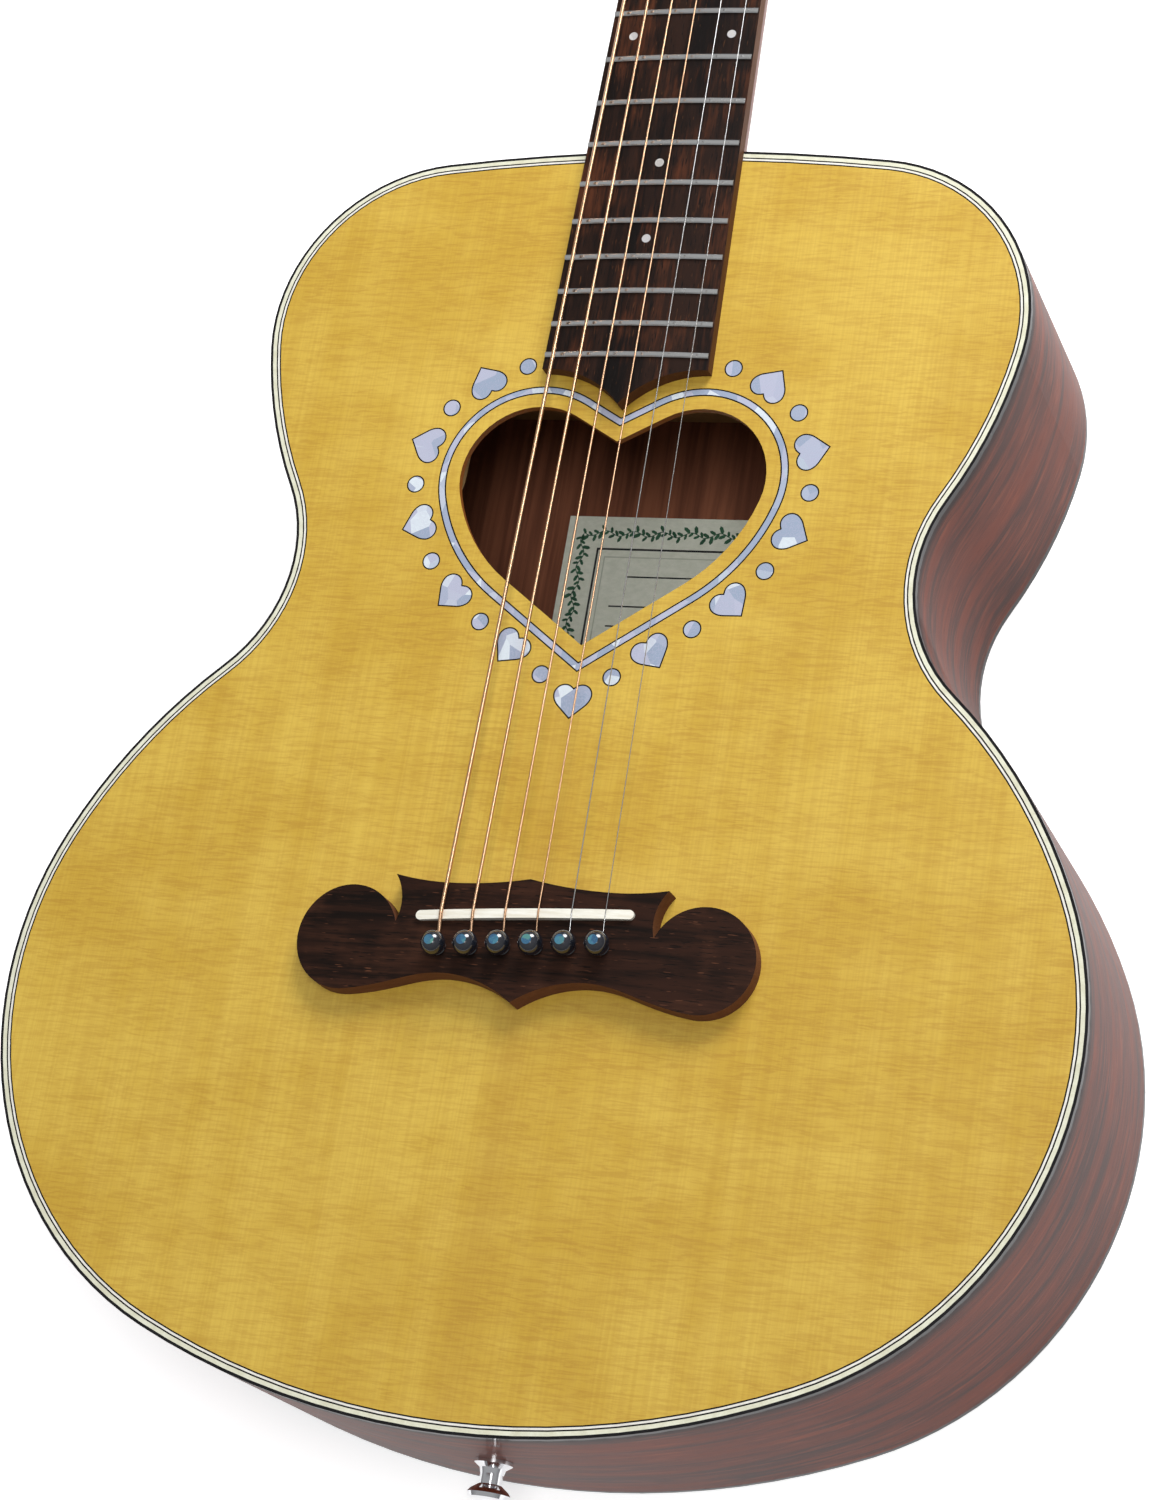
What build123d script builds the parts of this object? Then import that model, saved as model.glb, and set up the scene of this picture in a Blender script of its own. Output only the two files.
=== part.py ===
from build123d import *
import math
import os

# A steel-string acoustic guitar with a small body, a heart sound hole and three tuners a side.
# It lies on its back: +Z comes out of the soundboard, +Y runs up the neck, +X is the treble side.
# The origin is on the flat back, straight below the middle of the saddle line. Millimetres.

os.makedirs("parts", exist_ok=True)

# ---------------------------------------------------------------- driving sizes
SCALE = 648.0  # nut face to saddle line
FRETS = 20
BODY_FRET = 14  # the fret over the body's edge
BODY_LENGTH = 460.0
BODY_DEPTH = 100.0
TOP_T, BACK_T, SIDE_T = 2.8, 2.8, 2.2

# Half outline from the tail to the neck: (radius as a share of the body's length, turn in degrees).
# A negative pair bends the other way, at the waist. The last arc is worked out to close on the axis.
BODY_ARCS = ((0.6241, 23.03), (0.2763, 90.38), (0.4135, 24.23),
             (-0.1226, -76.89), (0.3680, 19.96), (0.1417, 92.90))

BINDING_W = 1.0
PURFLING = (("purfling_cream", 1.4), ("purfling_black", 0.5),
            ("purfling_white", 0.7), ("purfling_black", 0.5))  # from the binding inwards
PURFLING_DEEP = 1.5

LINING_W, LINING_H = 6.0, 13.0
NECK_BLOCK = (64.0, 32.0)  # across, along
TAIL_BLOCK = (72.0, 13.0)
BRACE_W, BRACE_H = 7.0, 14.0
SMALL_BRACE = (6.0, 9.0)
BRACE_END_RISE = 0.35  # height of a brace's end, as a share of its middle
BRACE_END_L, BRACE_END_MAX = 0.22, 40.0  # scooped end: share of the length, and the most
CROSS_BRACE = (11.0, 15.0)
# Tone bars, then one side's finger braces: (x, y, length as shares of the body's length, turn)
TONE_BARS = ((0.05, -0.105, 0.40, -22), (0.02, -0.215, 0.36, -22))
FINGER_BRACES = ((0.262, 0.015, 0.16, -62), (0.275, -0.115, 0.15, -42), (0.145, 0.30, 0.19, 100))
BACK_BRACE = (8.0, 14.0)
BACK_STRIP = (14.0, 2.0)
X_BRACE_TURN = 49.0  # degrees either side of the centre line
X_BRACE_SPAN = 0.95  # of the body's length, before the rim trims it
X_BRACE_GAP = 20.0  # crossing, below the sound hole's tip
PLATE_T = 2.6  # bridge plate
PLATE_ENDS = (-34.0, 12.0)
PLATE_HALF = 56.5
PLATE_CLEAR = 2.0  # between the plate and the ends of the small bars
JOINT_GAP = 0.3  # left round a brace end

# Sound hole: (heading of the straight side, its length, radius, turn, radius, heading at the cleft)
HOLE = (35.65, 40.15, 60.7, 37.8, 26.7, 209.6)
SMALL_HEART = (43.0, 6.45, 6.3, 30.0, 3.45, 219.6)
RING_IN, RING_W = 5.0, 3.0
LINE_W = 0.5  # black line round every shell inlay
INLAY_DEEP = 1.0
INLAY_OUT = 16.6  # inlay centres, outside the hole
INLAY_STEP = 15.9
INLAYS_PER_SIDE = 11
DOT_R = 2.85
HEART_BACK = 5.9  # small heart's tip to its middle

LABEL = (104.6, 116.0, 0.2)
LABEL_PAST = 13.0  # label's far edge, beyond the cleft of the hole
BRACE_PAST_LABEL = 44.0
BRACE_BEFORE_LABEL = 12.0
BACK_ROWS = (0.33, 0.16)  # lower back braces from the tail, as shares of the body's length
BLOCK_CLEAR = 2.0  # between a block and the ends of bars and strips

BOARD_T = 6.0
BOARD_W_NUT, BOARD_W_12 = 43.0, 56.6
BOARD_RADIUS = 400.0
BOARD_RING_GAP = 4.6  # board's end to the shell ring
BOARD_PAST_FRET = 5.4  # board's corners, past the last fret
FRET_W, FRET_H = 2.3, 1.1
TANG_W, TANG_H = 0.55, 1.9
FRET_END = 0.4  # fret's end, in from the board's edge
MARKER_R, MARKER_DEEP = 1.65, 1.2
MARKERS = ((3, 0), (5, 0), (7, 0), (9, 0), (12, 18.9), (15, 0), (17, 0))  # fret, half spacing of a pair

NUT_T, NUT_H = 5.0, 8.6
NUT_SPREAD, SADDLE_SPREAD, PIN_SPREAD = 38.0, 57.4, 57.0  # outer strings, centre to centre
NUT_ACTION = 0.5  # string's underside over the line of the fret tops
STRING_D = (1.35, 1.07, 0.81, 0.61, 0.41, 0.30)
STRING_CUT = 0.08  # clearance round a string in its slot
WOUND = 4  # how many of the strings are wound
BEND_R = (3.0, 1.6, 2.5, 4.0)  # a string's bends: above the ball, at the pin, saddle and nut

BRIDGE_H, BRIDGE_CROWN = 8.5, 1300.0
BRIDGE_EAR = (62.8, -13.8, 18.2)  # middle and radius of the round ear
EAR_NOTCH, EAR_OUT, EAR_UNDER = 160, 30, -97  # headings on the ear: its start, middle and end
# Right half of the outline: the front from its middle to the horn and down into the notch
BRIDGE_FRONT = ((0, 9.6), (13, 7.6), (26, 6.8), (37, 7.1), (48.5, 8.8), (44.9, 0.6))
BRIDGE_REAR = ((44, -28.2), (25, -24.4), (11.5, -26.8), (0, -32.8))  # ear to the rear point
SADDLE = (76.5, 3.2)  # length, thickness
SADDLE_Y, SADDLE_SLANT = -3.0, 3.75  # middle of the saddle, degrees
SADDLE_TOP, SADDLE_DEEP = 11.0, 5.0
PIN_BACK = 10.9  # pin row, behind the saddle
PIN_SHANK, PIN_SHANK_L, PIN_HEAD = 2.6, 23.0, 4.2
PIN_FIT = 0.05
PIN_STRING = 1.6  # string's place in the pin, forward of its axis
PIN_DOT_R, PIN_DOT_T = 1.7, 0.7
BALL_R, BALL_H = 1.9, 3.4
PIN_FOOT = 5.0  # height over which a string crosses from its ball to the pin's groove

NECK_DEEP_NUT, NECK_DEEP_BODY = 15.0, 17.5
NECK_ROUND, HEAD_SQUARE = 2.2, 10.0  # powers of the neck's section: round, and nearly square
HEEL = ((8.0, 21.0, 66.0), (16.0, 19.5, 46.0), (30.0, 17.0, 33.0), (55.0, 14.0, 25.5),
        (97.0, 12.5, 21.0))  # depth below the soundboard, half width, reach
HEEL_CAP_T = 2.4
NECK_IN = 3.0  # neck and heel are drawn this far into the body, then trimmed by its outline
THROAT = 16.0  # from the nut back along the neck, where the shaft starts to widen into the head
TENON = (19.0, 20.0, 72.0)  # across, into the block, height
TENON_DOWN = 10.0  # top of the tenon, below the soundboard's face
BOLT_R, BOLT_HEAD_R, BOLT_HEAD_H = 3.0, 5.0, 5.0
ROD_R, ROD_DOWN = 3.0, 8.5
ROD_OUT = 10.0  # rod's end, past the neck block
ROD_NUT = (4.0, 9.0)  # radius, length
ROD_KEY = 2.3  # half the key's width across flats
ROD_HOLE_R = 6.0  # key's way through the cross brace
BAR_UP = 6.0  # cross brace, from midway between the sound hole and the neck block
RUNNING = 0.05  # radial clearance of every turning fit

HEAD_TILT = 14.0
HEAD_L, HEAD_T, VENEER_T = 186.0, 15.0, 1.8
HEAD_HALF = (31.5, 37.5)  # half width above the nut, and at the far end
HEAD_START = 24.0
# Head's corner from the end of its straight edge: (in from the full half width, below the end)
HEAD_CORNER = ((0.0, 9.0), (2.5, 3.0), (10.0, 2.5))
HEAD_CREST = 0.6  # how far the middle of the end's arc dips below its highest point
POSTS = (44.0, 83.0, 122.0)  # from the nut's back, along the head
POST_IN = 14.0  # post's axis, in from the edge

POST_R, POST_WAIST_R, POST_TOP = 3.0, 2.4, 19.0
COIL_MID, COIL_TURNS = 12.2, 3
COIL_GAP = 0.15  # string's end, clear of the turning coil
GEAR_TEETH, GEAR_MODULE, GEAR_T = 15, 0.7, 2.6
GEAR_OUT, GEAR_ROOT = 0.45, 0.75  # over and under the pitch circle
TOOTH_SHARE = 0.38  # of the pitch, for gear teeth and for the worm's thread
WORM_PITCH_R, WORM_OUT, WORM_ROOT, WORM_TURNS = 2.75, 0.45, 0.75, 4
WORM_SHAFT_R = 2.0
CASE_WALL, CASE_H = 1.4, 11.0
CASE_ROOM = 0.6  # round the gear and the worm
BUSHING_R, BUSHING_HEX, BUSHING_HEX_H = 4.5, 11.0, 2.6
WASHER_R, WASHER_T = 7.0, 0.6
TAB_L, TAB_T, SCREW_R, SCREW_L = 7.0, 1.8, 1.2, 10.0
BUTTON = (19.0, 13.5, 7.5)  # across, along its shaft, thick
BUTTON_OUT = 12.0  # middle of the button, outside the head's edge

STRAP_Z = 52.0
STRAP = (6.4, 3.9, 7.4, 13.0)  # base, waist and head radii, height
STRAP_SCREW_R, STRAP_SCREW_L = 2.0, 24.0

# ---------------------------------------------------------------- worked out
TOP_Z = BODY_DEPTH
BELLY_Z = TOP_Z - TOP_T  # underside of the soundboard
EDGE_W = BINDING_W + sum(width for name, width in PURFLING)


def fret_y(number):
    return SCALE * 2 ** (-number / 12)


def board_half(y):
    """Half the fingerboard's width at y."""
    slope = (BOARD_W_12 - BOARD_W_NUT) / (SCALE - fret_y(12))
    return (BOARD_W_NUT + slope * (SCALE - y)) / 2


def at_heading(degrees_):
    return Vector(math.cos(math.radians(degrees_)), math.sin(math.radians(degrees_)))


def left_of(degrees_):
    return at_heading(degrees_ + 90)


BODY_END = fret_y(BODY_FRET)
RING_OUT = RING_IN + RING_W


# ---------------------------------------------------------------- helpers
def save(name, *shapes):
    """One STEP file for one node, with every solid apart."""
    solids = [solid for shape in shapes for solid in shape.solids()]
    export_step(Compound(solids), f"parts/{name}.step")


def turn_arc(start, heading, radius, turn):
    """A tangent arc and its end. Radius and turn are both negative for a right-hand bend."""
    middle = start + left_of(heading) * radius
    half, end = (middle - left_of(heading + share * turn) * radius for share in (0.5, 1))
    return ThreePointArc(start, half, end), end


def closed(half_edges):
    """A closed wire from the right-hand half and its mirror image."""
    return Wire(list(half_edges) + [edge.mirror(Plane.YZ) for edge in half_edges])


def body_wire(inset=0.0):
    """The body's outline, moved in by the inset. It ends at the neck, on BODY_END."""
    edges, point, heading = [], Vector(0, inset), 0.0
    for share, turn in BODY_ARCS:
        edge, point = turn_arc(point, heading, share * BODY_LENGTH - inset, turn)
        edges.append(edge)
        heading += turn
    last = point.X / math.sin(math.radians(heading))
    edge, point = turn_arc(point, heading, last, 180 - heading)
    edges.append(edge)
    return closed(edges).moved(Pos(0, BODY_END - inset - point.Y, 0))


def heart_half(shape, grow=0.0):
    """Right half of a heart with its tip at the origin, from the tip to the cleft."""
    heading, straight, radius_1, turn_1, radius_2, last = shape
    slope = math.radians(heading)
    tip = Vector(0, -grow / math.cos(slope))
    point = tip + at_heading(heading) * (straight + grow * math.tan(slope))
    edges = [Line(tip, point)]
    for radius, turn in ((radius_1, turn_1), (radius_2, last - heading - turn_1)):
        edge, point = turn_arc(point, heading, radius + grow, turn)
        edges.append(edge)
        heading += turn
    cleft = point + at_heading(heading) * (-point.X / at_heading(heading).X)
    return edges + [Line(point, cleft)]


def heart_wire(shape, grow=0.0):
    return closed(heart_half(shape, grow))


def slab(wire, low, high, *holes):
    return extrude(Pos(0, 0, low) * Face(wire, list(holes)), high - low, dir=(0, 0, 1))


def block(x, y, z):
    """A box from three (low, high) pairs."""
    sides = [pair[1] - pair[0] for pair in (x, y, z)]
    middle = [(pair[0] + pair[1]) / 2 for pair in (x, y, z)]
    return Pos(*middle) * Box(*sides)


def rod(radius, low, high, x=0.0, y=0.0):
    """A round bar along Z."""
    return Pos(x, y, (low + high) / 2) * Cylinder(radius, high - low)


def turned(*profile):
    """A solid of revolution about Z from (radius, height) points."""
    points = [(radius, 0, height) for radius, height in profile]
    return revolve(Face(Wire.make_polygon(points, close=True)), Axis.Z)


BODY_WIRE = body_wire()
TAIL_Y = BODY_WIRE.bounding_box().min.Y
HOLE_CLEFT_H = (heart_half(HOLE)[-1] @ 1).Y
LOBE = heart_half(HOLE)[2].arc_center
BOARD_END_R = HOLE[4] + RING_OUT + BOARD_RING_GAP
LOBE_Y = fret_y(FRETS) - BOARD_PAST_FRET - BOARD_END_R
HEART_TIP = LOBE_Y - LOBE.Y
AT_HOLE = Pos(0, HEART_TIP, 0)
CLEFT_Y = HEART_TIP + HOLE_CLEFT_H


# ---------------------------------------------------------------- strings' places
def spread(total, index):
    """Place of a string across, bass to treble."""
    return total * (index / 5 - 0.5)


def crown_drop(x):
    return BOARD_RADIUS - math.sqrt(BOARD_RADIUS ** 2 - x ** 2)


def saddle_point(index):
    x = spread(SADDLE_SPREAD, index)
    y = SADDLE_Y + x * math.tan(math.radians(SADDLE_SLANT))
    radius = STRING_D[index] / 2
    return Vector(x, y, TOP_Z + SADDLE_TOP - crown_drop(x) + radius + STRING_CUT / 2)


def nut_point(index):
    x = spread(NUT_SPREAD, index)
    radius = STRING_D[index] / 2
    return Vector(x, SCALE, TOP_Z + BOARD_T - crown_drop(x) + FRET_H + NUT_ACTION + radius)


def pin_point(index):
    x = spread(PIN_SPREAD, index)
    return Vector(x, SADDLE_Y - PIN_BACK + x * math.tan(math.radians(SADDLE_SLANT)))


def bridge_top(x):
    return TOP_Z + BRIDGE_H - (BRIDGE_CROWN - math.sqrt(BRIDGE_CROWN ** 2 - x ** 2))


HEAD = Plane(origin=(0, SCALE + NUT_T, TOP_Z), x_dir=(1, 0, 0),
             z_dir=(0, math.sin(math.radians(HEAD_TILT)), math.cos(math.radians(HEAD_TILT))))


def head_half(along):
    """Half the head's width at a distance from the nut's back."""
    low, high = HEAD_HALF
    return low + (high - low) * (along - HEAD_START) / (HEAD_L - HEAD_START)


def post_place(index):
    """Post of a string in the head's own frame: bass side for the first three, nut end outwards."""
    side = -1 if index < 3 else 1
    along = POSTS[index] if index < 3 else POSTS[5 - index]
    return side, Vector(side * (head_half(along) - POST_IN), along)


def coil_radius(index):
    return POST_WAIST_R + STRING_D[index] / 2 + STRING_CUT / 2


def string_end(index):
    """Where a string meets the outside of its coil, on the post's inner side."""
    side, place = post_place(index)
    reach = coil_radius(index) + STRING_D[index] + COIL_GAP
    return HEAD.from_local_coords(Vector(place.X - side * reach, place.Y, COIL_MID))


def string_route(index):
    pin, saddle, nut = pin_point(index), saddle_point(index), nut_point(index)
    foot = BELLY_Z - PLATE_T - STRING_CUT
    over = bridge_top(pin.X) + STRING_D[index] / 2
    return [Vector(pin.X, ball_y(pin), foot), Vector(pin.X, pin.Y + PIN_STRING, foot + PIN_FOOT),
            Vector(pin.X, pin.Y + PIN_STRING, over), saddle, nut, string_end(index)]


def ball_y(pin):
    """The ball end lies against the front of the pin's shank."""
    return pin.Y + PIN_SHANK + BALL_R + STRING_CUT


def tube(points, radii, radius):
    path = FilletPolyline(*points, radius=list(radii))
    section = Plane(origin=points[0], z_dir=points[1] - points[0]) * Circle(radius)
    return sweep(section, path=path)


def string_tube(index, grow=0.0):
    return tube(string_route(index), BEND_R, STRING_D[index] / 2 + grow)


STRING_SLOTS = [string_tube(index, STRING_CUT) for index in range(6)]


def without_strings(shape):
    for slot in STRING_SLOTS:
        shape = shape - slot
    return shape


# ---------------------------------------------------------------- neck, tenon and rod
TENON_TOP = TOP_Z - TENON_DOWN
TENON_BOX = block((-TENON[0] / 2, TENON[0] / 2), (BODY_END - TENON[1], BODY_END + 2),
                  (TENON_TOP - TENON[2], TENON_TOP))
ROD_Z = TOP_Z - ROD_DOWN
BLOCK_Y = BODY_END - NECK_BLOCK[1]
ROD_LOW, ROD_HIGH = BLOCK_Y - ROD_OUT, SCALE - 14
BOLT_Z = (TENON_TOP - TENON[2] * 0.3, TENON_TOP - TENON[2] * 0.75)


def along_y(radius, low, high, x, z):
    """A round bar along Y."""
    return Pos(x, (low + high) / 2, z) * Rot(90, 0, 0) * Cylinder(radius, high - low)


def neck_bolt(z):
    head = along_y(BOLT_HEAD_R, BLOCK_Y - BOLT_HEAD_H, BLOCK_Y, 0, z)
    return head + along_y(BOLT_R, BLOCK_Y, BODY_END - 2, 0, z)


BOLTS = [neck_bolt(z) for z in BOLT_Z]


def neck_section(half, deep, power, plane):
    """Flat on top, rounded below: |x/half| and |z/deep| to one power add up to one."""
    turns = (0, 15, 35, 60, 90, 120, 145, 165, 180)
    points = []
    for turn in turns:
        c, s = math.cos(math.radians(turn)), math.sin(math.radians(turn))
        points.append((half * math.copysign(abs(c) ** (2 / power), c), -deep * s ** (2 / power)))
    curve = Spline(*points)
    return plane * Face(Wire([curve, Line(points[-1], points[0])]))


def upright(y):
    return Plane(origin=(0, y, TOP_Z), x_dir=(1, 0, 0), z_dir=(0, -1, 0))


def make_neck():
    joint, near_nut = BODY_END - NECK_IN, SCALE - THROAT
    turn_up = Plane(origin=HEAD.from_local_coords(Vector(0, HEAD_START, 0)), x_dir=(1, 0, 0),
                    z_dir=-HEAD.y_dir)
    shaft = loft([neck_section(board_half(joint), NECK_DEEP_BODY, NECK_ROUND, upright(joint)),
                  neck_section(board_half(near_nut), NECK_DEEP_NUT, NECK_ROUND, upright(near_nut))])
    throat = loft([neck_section(board_half(near_nut), NECK_DEEP_NUT, NECK_ROUND, upright(near_nut)),
                   neck_section(head_half(HEAD_START), HEAD_T, HEAD_SQUARE, turn_up)])
    throat += nut_seat()
    heel_faces = []
    for down, half, reach in HEEL:
        level = TOP_Z - down * (BODY_DEPTH - BACK_T) / HEEL[-1][0]
        arc = EllipticalCenterArc((0, 0), half, reach, start_angle=0, arc_size=180)
        face = Face(Wire([arc, Line(arc @ 1, arc @ 0)]))
        heel_faces.append(Pos(0, BODY_END - NECK_IN, level) * face)
    heel = loft(heel_faces)
    neck = shaft + throat + head_slab(-HEAD_T, 0) + heel
    neck = neck - slab(BODY_WIRE, -1, TOP_Z + 1) + TENON_BOX
    neck -= along_y(ROD_R, ROD_LOW, ROD_HIGH, 0, ROD_Z)
    for bolt in BOLTS:
        neck -= bolt
    for index in range(6):
        neck -= HEAD * tuner_room(index)
    return neck


def nut_seat():
    """The neck's flat top goes on under the nut, as far as the head's own slope."""
    half = board_half(SCALE)
    return block((-half, half), (SCALE - THROAT, SCALE + NUT_T), (TOP_Z - BOARD_T, TOP_Z))


def head_outline():
    low, high = HEAD_HALF
    shoulder = HEAD_L - HEAD_CORNER[0][1]
    start = (head_half(shoulder), shoulder)
    knuckle, end = ((high - inward, HEAD_L - down) for inward, down in HEAD_CORNER[1:])
    edges = [Line((0, HEAD_START), (low, HEAD_START)), Line((low, HEAD_START), start),
             ThreePointArc(start, knuckle, end),
             ThreePointArc(end, (end[0] / 2, HEAD_L - HEAD_CREST), (0, HEAD_L))]
    return closed(edges)


def head_slab(low, high):
    return HEAD * slab(head_outline(), low, high)


# ---------------------------------------------------------------- tuners, in the head's frame
GEAR_R = GEAR_TEETH * GEAR_MODULE / 2
PITCH = math.pi * GEAR_MODULE
WORM_AWAY = GEAR_R + WORM_PITCH_R
CASE_LOW = -HEAD_T - CASE_H
GEAR_Z = -HEAD_T - CASE_H / 2
CASE_SIDE = GEAR_R + GEAR_OUT + CASE_ROOM + CASE_WALL
CASE_FAR = WORM_AWAY + WORM_PITCH_R + WORM_OUT + CASE_ROOM + CASE_WALL
FACE_Z = VENEER_T  # front of the head, over the wood
TAB_MID = -CASE_SIDE - TAB_L / 2 + 1.0


def at_post(index):
    return Pos(*post_place(index)[1])


def tuner_room(index):
    """What a tuner takes out of the head: its bushing's hole and its screw."""
    bush = rod(BUSHING_R + RUNNING, -HEAD_T - 1, VENEER_T + 1)
    screw = rod(SCREW_R, -HEAD_T - 1, -HEAD_T + SCREW_L - TAB_T, 0, TAB_MID)
    return at_post(index) * (bush + screw)


# The worm's axis lies along X, with its thread's start towards the gear.
WORM_AXIS = Plane(origin=(0, WORM_AWAY, GEAR_Z), x_dir=(0, -1, 0), z_dir=(1, 0, 0))


def make_case(side):
    room = CASE_WALL
    outer = block((-CASE_SIDE, CASE_SIDE), (-CASE_SIDE, CASE_FAR), (CASE_LOW + room, -HEAD_T))
    outer = fillet(outer.edges().filter_by(Axis.Z), 2.5)
    inner = block((-CASE_SIDE + room, CASE_SIDE - room), (-CASE_SIDE + room, CASE_FAR - room),
                  (CASE_LOW + room - 1, -HEAD_T - room))
    tab = rod(TAB_L / 2, -HEAD_T - TAB_T, -HEAD_T, 0, TAB_MID)
    tab += block((-TAB_L / 2, TAB_L / 2), (TAB_MID, -CASE_SIDE + 1), (-HEAD_T - TAB_T, -HEAD_T))
    boss = Pos(side * (CASE_SIDE + 2), WORM_AWAY, GEAR_Z) * Rot(0, 90, 0) * Cylinder(3.6, 6)
    bearing = WORM_AXIS.location * Cylinder(WORM_SHAFT_R + RUNNING, 4 * CASE_SIDE)
    half = block(*((0, side * 40),) if side > 0 else ((-40, 0),), (-20, 20), (-60, 0))
    case = outer - inner + tab + (boss - inner)
    case -= bearing & half
    case -= rod(POST_R + RUNNING, -HEAD_T - 3, -HEAD_T + 1)
    return case - rod(SCREW_R, -HEAD_T - TAB_T - 1, -HEAD_T + 1, 0, TAB_MID)


def make_cover():
    plate = block((-CASE_SIDE, CASE_SIDE), (-CASE_SIDE, CASE_FAR), (CASE_LOW, CASE_LOW + CASE_WALL))
    plate = fillet(plate.edges().filter_by(Axis.Z), 2.5)
    return plate - rod(POST_R / 2 + RUNNING, CASE_LOW + 0.5, CASE_LOW + CASE_WALL + 1)


def make_bushing():
    hexagon = extrude(Pos(0, 0, FACE_Z + WASHER_T) * RegularPolygon(BUSHING_HEX / 2, 6,
                                                                   major_radius=False), BUSHING_HEX_H)
    sleeve = rod(BUSHING_R, -HEAD_T, FACE_Z + WASHER_T)
    bore = rod(POST_R + RUNNING, -HEAD_T - 1, FACE_Z + 9)
    washer = rod(WASHER_R, FACE_Z, FACE_Z + WASHER_T) - rod(BUSHING_R, FACE_Z - 1, FACE_Z + 2)
    return [sleeve + hexagon - bore, washer]


def make_tab_screw():
    head = Pos(0, TAB_MID, -HEAD_T - TAB_T) * Rot(180, 0, 0) * turned(
        (0, 0), (2.3, 0), (2.1, 0.9), (1.3, 1.5), (0, 1.6))
    return head + rod(SCREW_R, -HEAD_T - TAB_T, -HEAD_T - TAB_T + SCREW_L, 0, TAB_MID)


def make_post():
    """The string post with its gear wheel. A gap between teeth faces the worm."""
    low, waist = COIL_MID - 4.0, POST_WAIST_R
    post = turned((0, CASE_LOW + 0.8), (POST_R / 2, CASE_LOW + 0.8), (POST_R / 2, CASE_LOW + 1.8),
                  (POST_R, CASE_LOW + 1.8), (POST_R, low), (waist, low + 0.8),
                  (waist, low + 6.0), (POST_R, low + 6.8), (POST_R, POST_TOP - 0.8),
                  (POST_R - 0.8, POST_TOP), (0, POST_TOP))
    post -= Pos(0, 0, COIL_MID + 4.2) * Rot(0, 90, 0) * Cylinder(0.8, 10)
    tooth = PITCH * TOOTH_SHARE / 2
    reach = GEAR_R + GEAR_OUT
    side_view = Face(Wire.make_polygon([(GEAR_R - GEAR_ROOT - 0.3, -tooth * 1.25, 0),
                                        (reach, -tooth * 0.75, 0), (reach, tooth * 0.75, 0),
                                        (GEAR_R - GEAR_ROOT - 0.3, tooth * 1.25, 0)], close=True))
    wheel = rod(GEAR_R - GEAR_ROOT, 0, GEAR_T)
    for number in range(GEAR_TEETH):
        turn = 90 + (number + 0.5) * 360 / GEAR_TEETH
        wheel += Rot(0, 0, turn) * extrude(side_view, GEAR_T, dir=(0, 0, 1))
    wheel = Pos(0, 0, GEAR_Z - GEAR_T / 2) * wheel
    return [post, wheel - rod(POST_R, CASE_LOW, 0)]


def make_worm():
    """A right-hand thread on its shaft, along Z, with the thread's start on +X."""
    root, out = WORM_PITCH_R - WORM_ROOT, WORM_PITCH_R + WORM_OUT
    half, height = PITCH * TOOTH_SHARE / 2, PITCH * WORM_TURNS
    path = Helix(PITCH, height, WORM_PITCH_R)
    tooth = Plane(origin=path @ 0, x_dir=(1, 0, 0), z_dir=path % 0) * Polygon(
        (root - 0.2 - WORM_PITCH_R, -half * 1.25), (out - WORM_PITCH_R, -half * 0.75),
        (out - WORM_PITCH_R, half * 0.75), (root - 0.2 - WORM_PITCH_R, half * 1.25), align=None)
    thread = sweep(tooth, path=path, is_frenet=True)
    return Pos(0, 0, -height / 2) * thread + Cylinder(root, height + 2.4)


def make_knob(side, edge_away):
    """Button, shaft and worm. The button stands outside the head's edge."""
    middle = edge_away + BUTTON_OUT
    worm = WORM_AXIS.location * WORM
    shaft = Pos(side * middle / 2, WORM_AWAY, GEAR_Z) * Rot(0, 90, 0) * Cylinder(
        WORM_SHAFT_R, middle)
    width, length, thick = BUTTON
    oval = Pos(side * middle, WORM_AWAY, GEAR_Z - thick / 2) * extrude(
        Ellipse(length / 2, width / 2), thick)
    oval = fillet(oval.edges(), thick * 0.3)
    neck = Pos(side * (middle - length / 2 - 0.6), WORM_AWAY, GEAR_Z) * Rot(0, 90, 0)
    return worm + shaft + oval + neck * Cylinder(3.0, 3.4)


def make_coil(index):
    radius = STRING_D[index] / 2
    pitch = STRING_D[index] + STRING_CUT / 2
    return [Pos(0, 0, COIL_MID - turn * pitch) * Torus(coil_radius(index), radius)
            for turn in range(COIL_TURNS)]


# ---------------------------------------------------------------- body
def make_soundboard():
    board = slab(body_wire(BINDING_W), BELLY_Z, TOP_Z - PURFLING_DEEP)
    board += slab(body_wire(EDGE_W), TOP_Z - PURFLING_DEEP, TOP_Z)
    board -= AT_HOLE * slab(heart_wire(HOLE), BELLY_Z - 1, TOP_Z + 1)
    board -= AT_HOLE * slab(heart_wire(HOLE, RING_OUT), TOP_Z - INLAY_DEEP, TOP_Z + 1,
                            heart_wire(HOLE, RING_IN))
    for place, heart in inlay_places():
        board -= place * inlay_room(heart)
    return board


def inlay_places():
    """(place, is it a heart) for every shell inlay round the hole. Hearts point outwards."""
    line = Wire(heart_half(HOLE, INLAY_OUT))
    places = [(AT_HOLE * Pos(*(line @ 0)), True)]
    for number in range(1, INLAYS_PER_SIDE + 1):
        share = number * INLAY_STEP / line.length
        point, heading = line @ share, line % share
        turn = math.degrees(math.atan2(heading.Y, heading.X))
        for mirror_x in (1, -1):
            spot = Pos(mirror_x * point.X, point.Y, 0) * Rot(0, 0, mirror_x * turn)
            places.append((AT_HOLE * spot, number % 2 == 0))
    return places


def inlay_wire(heart, grow):
    if heart:
        return heart_wire(SMALL_HEART, grow).moved(Pos(0, -HEART_BACK, 0))
    return Wire.make_circle(DOT_R + grow)


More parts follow.
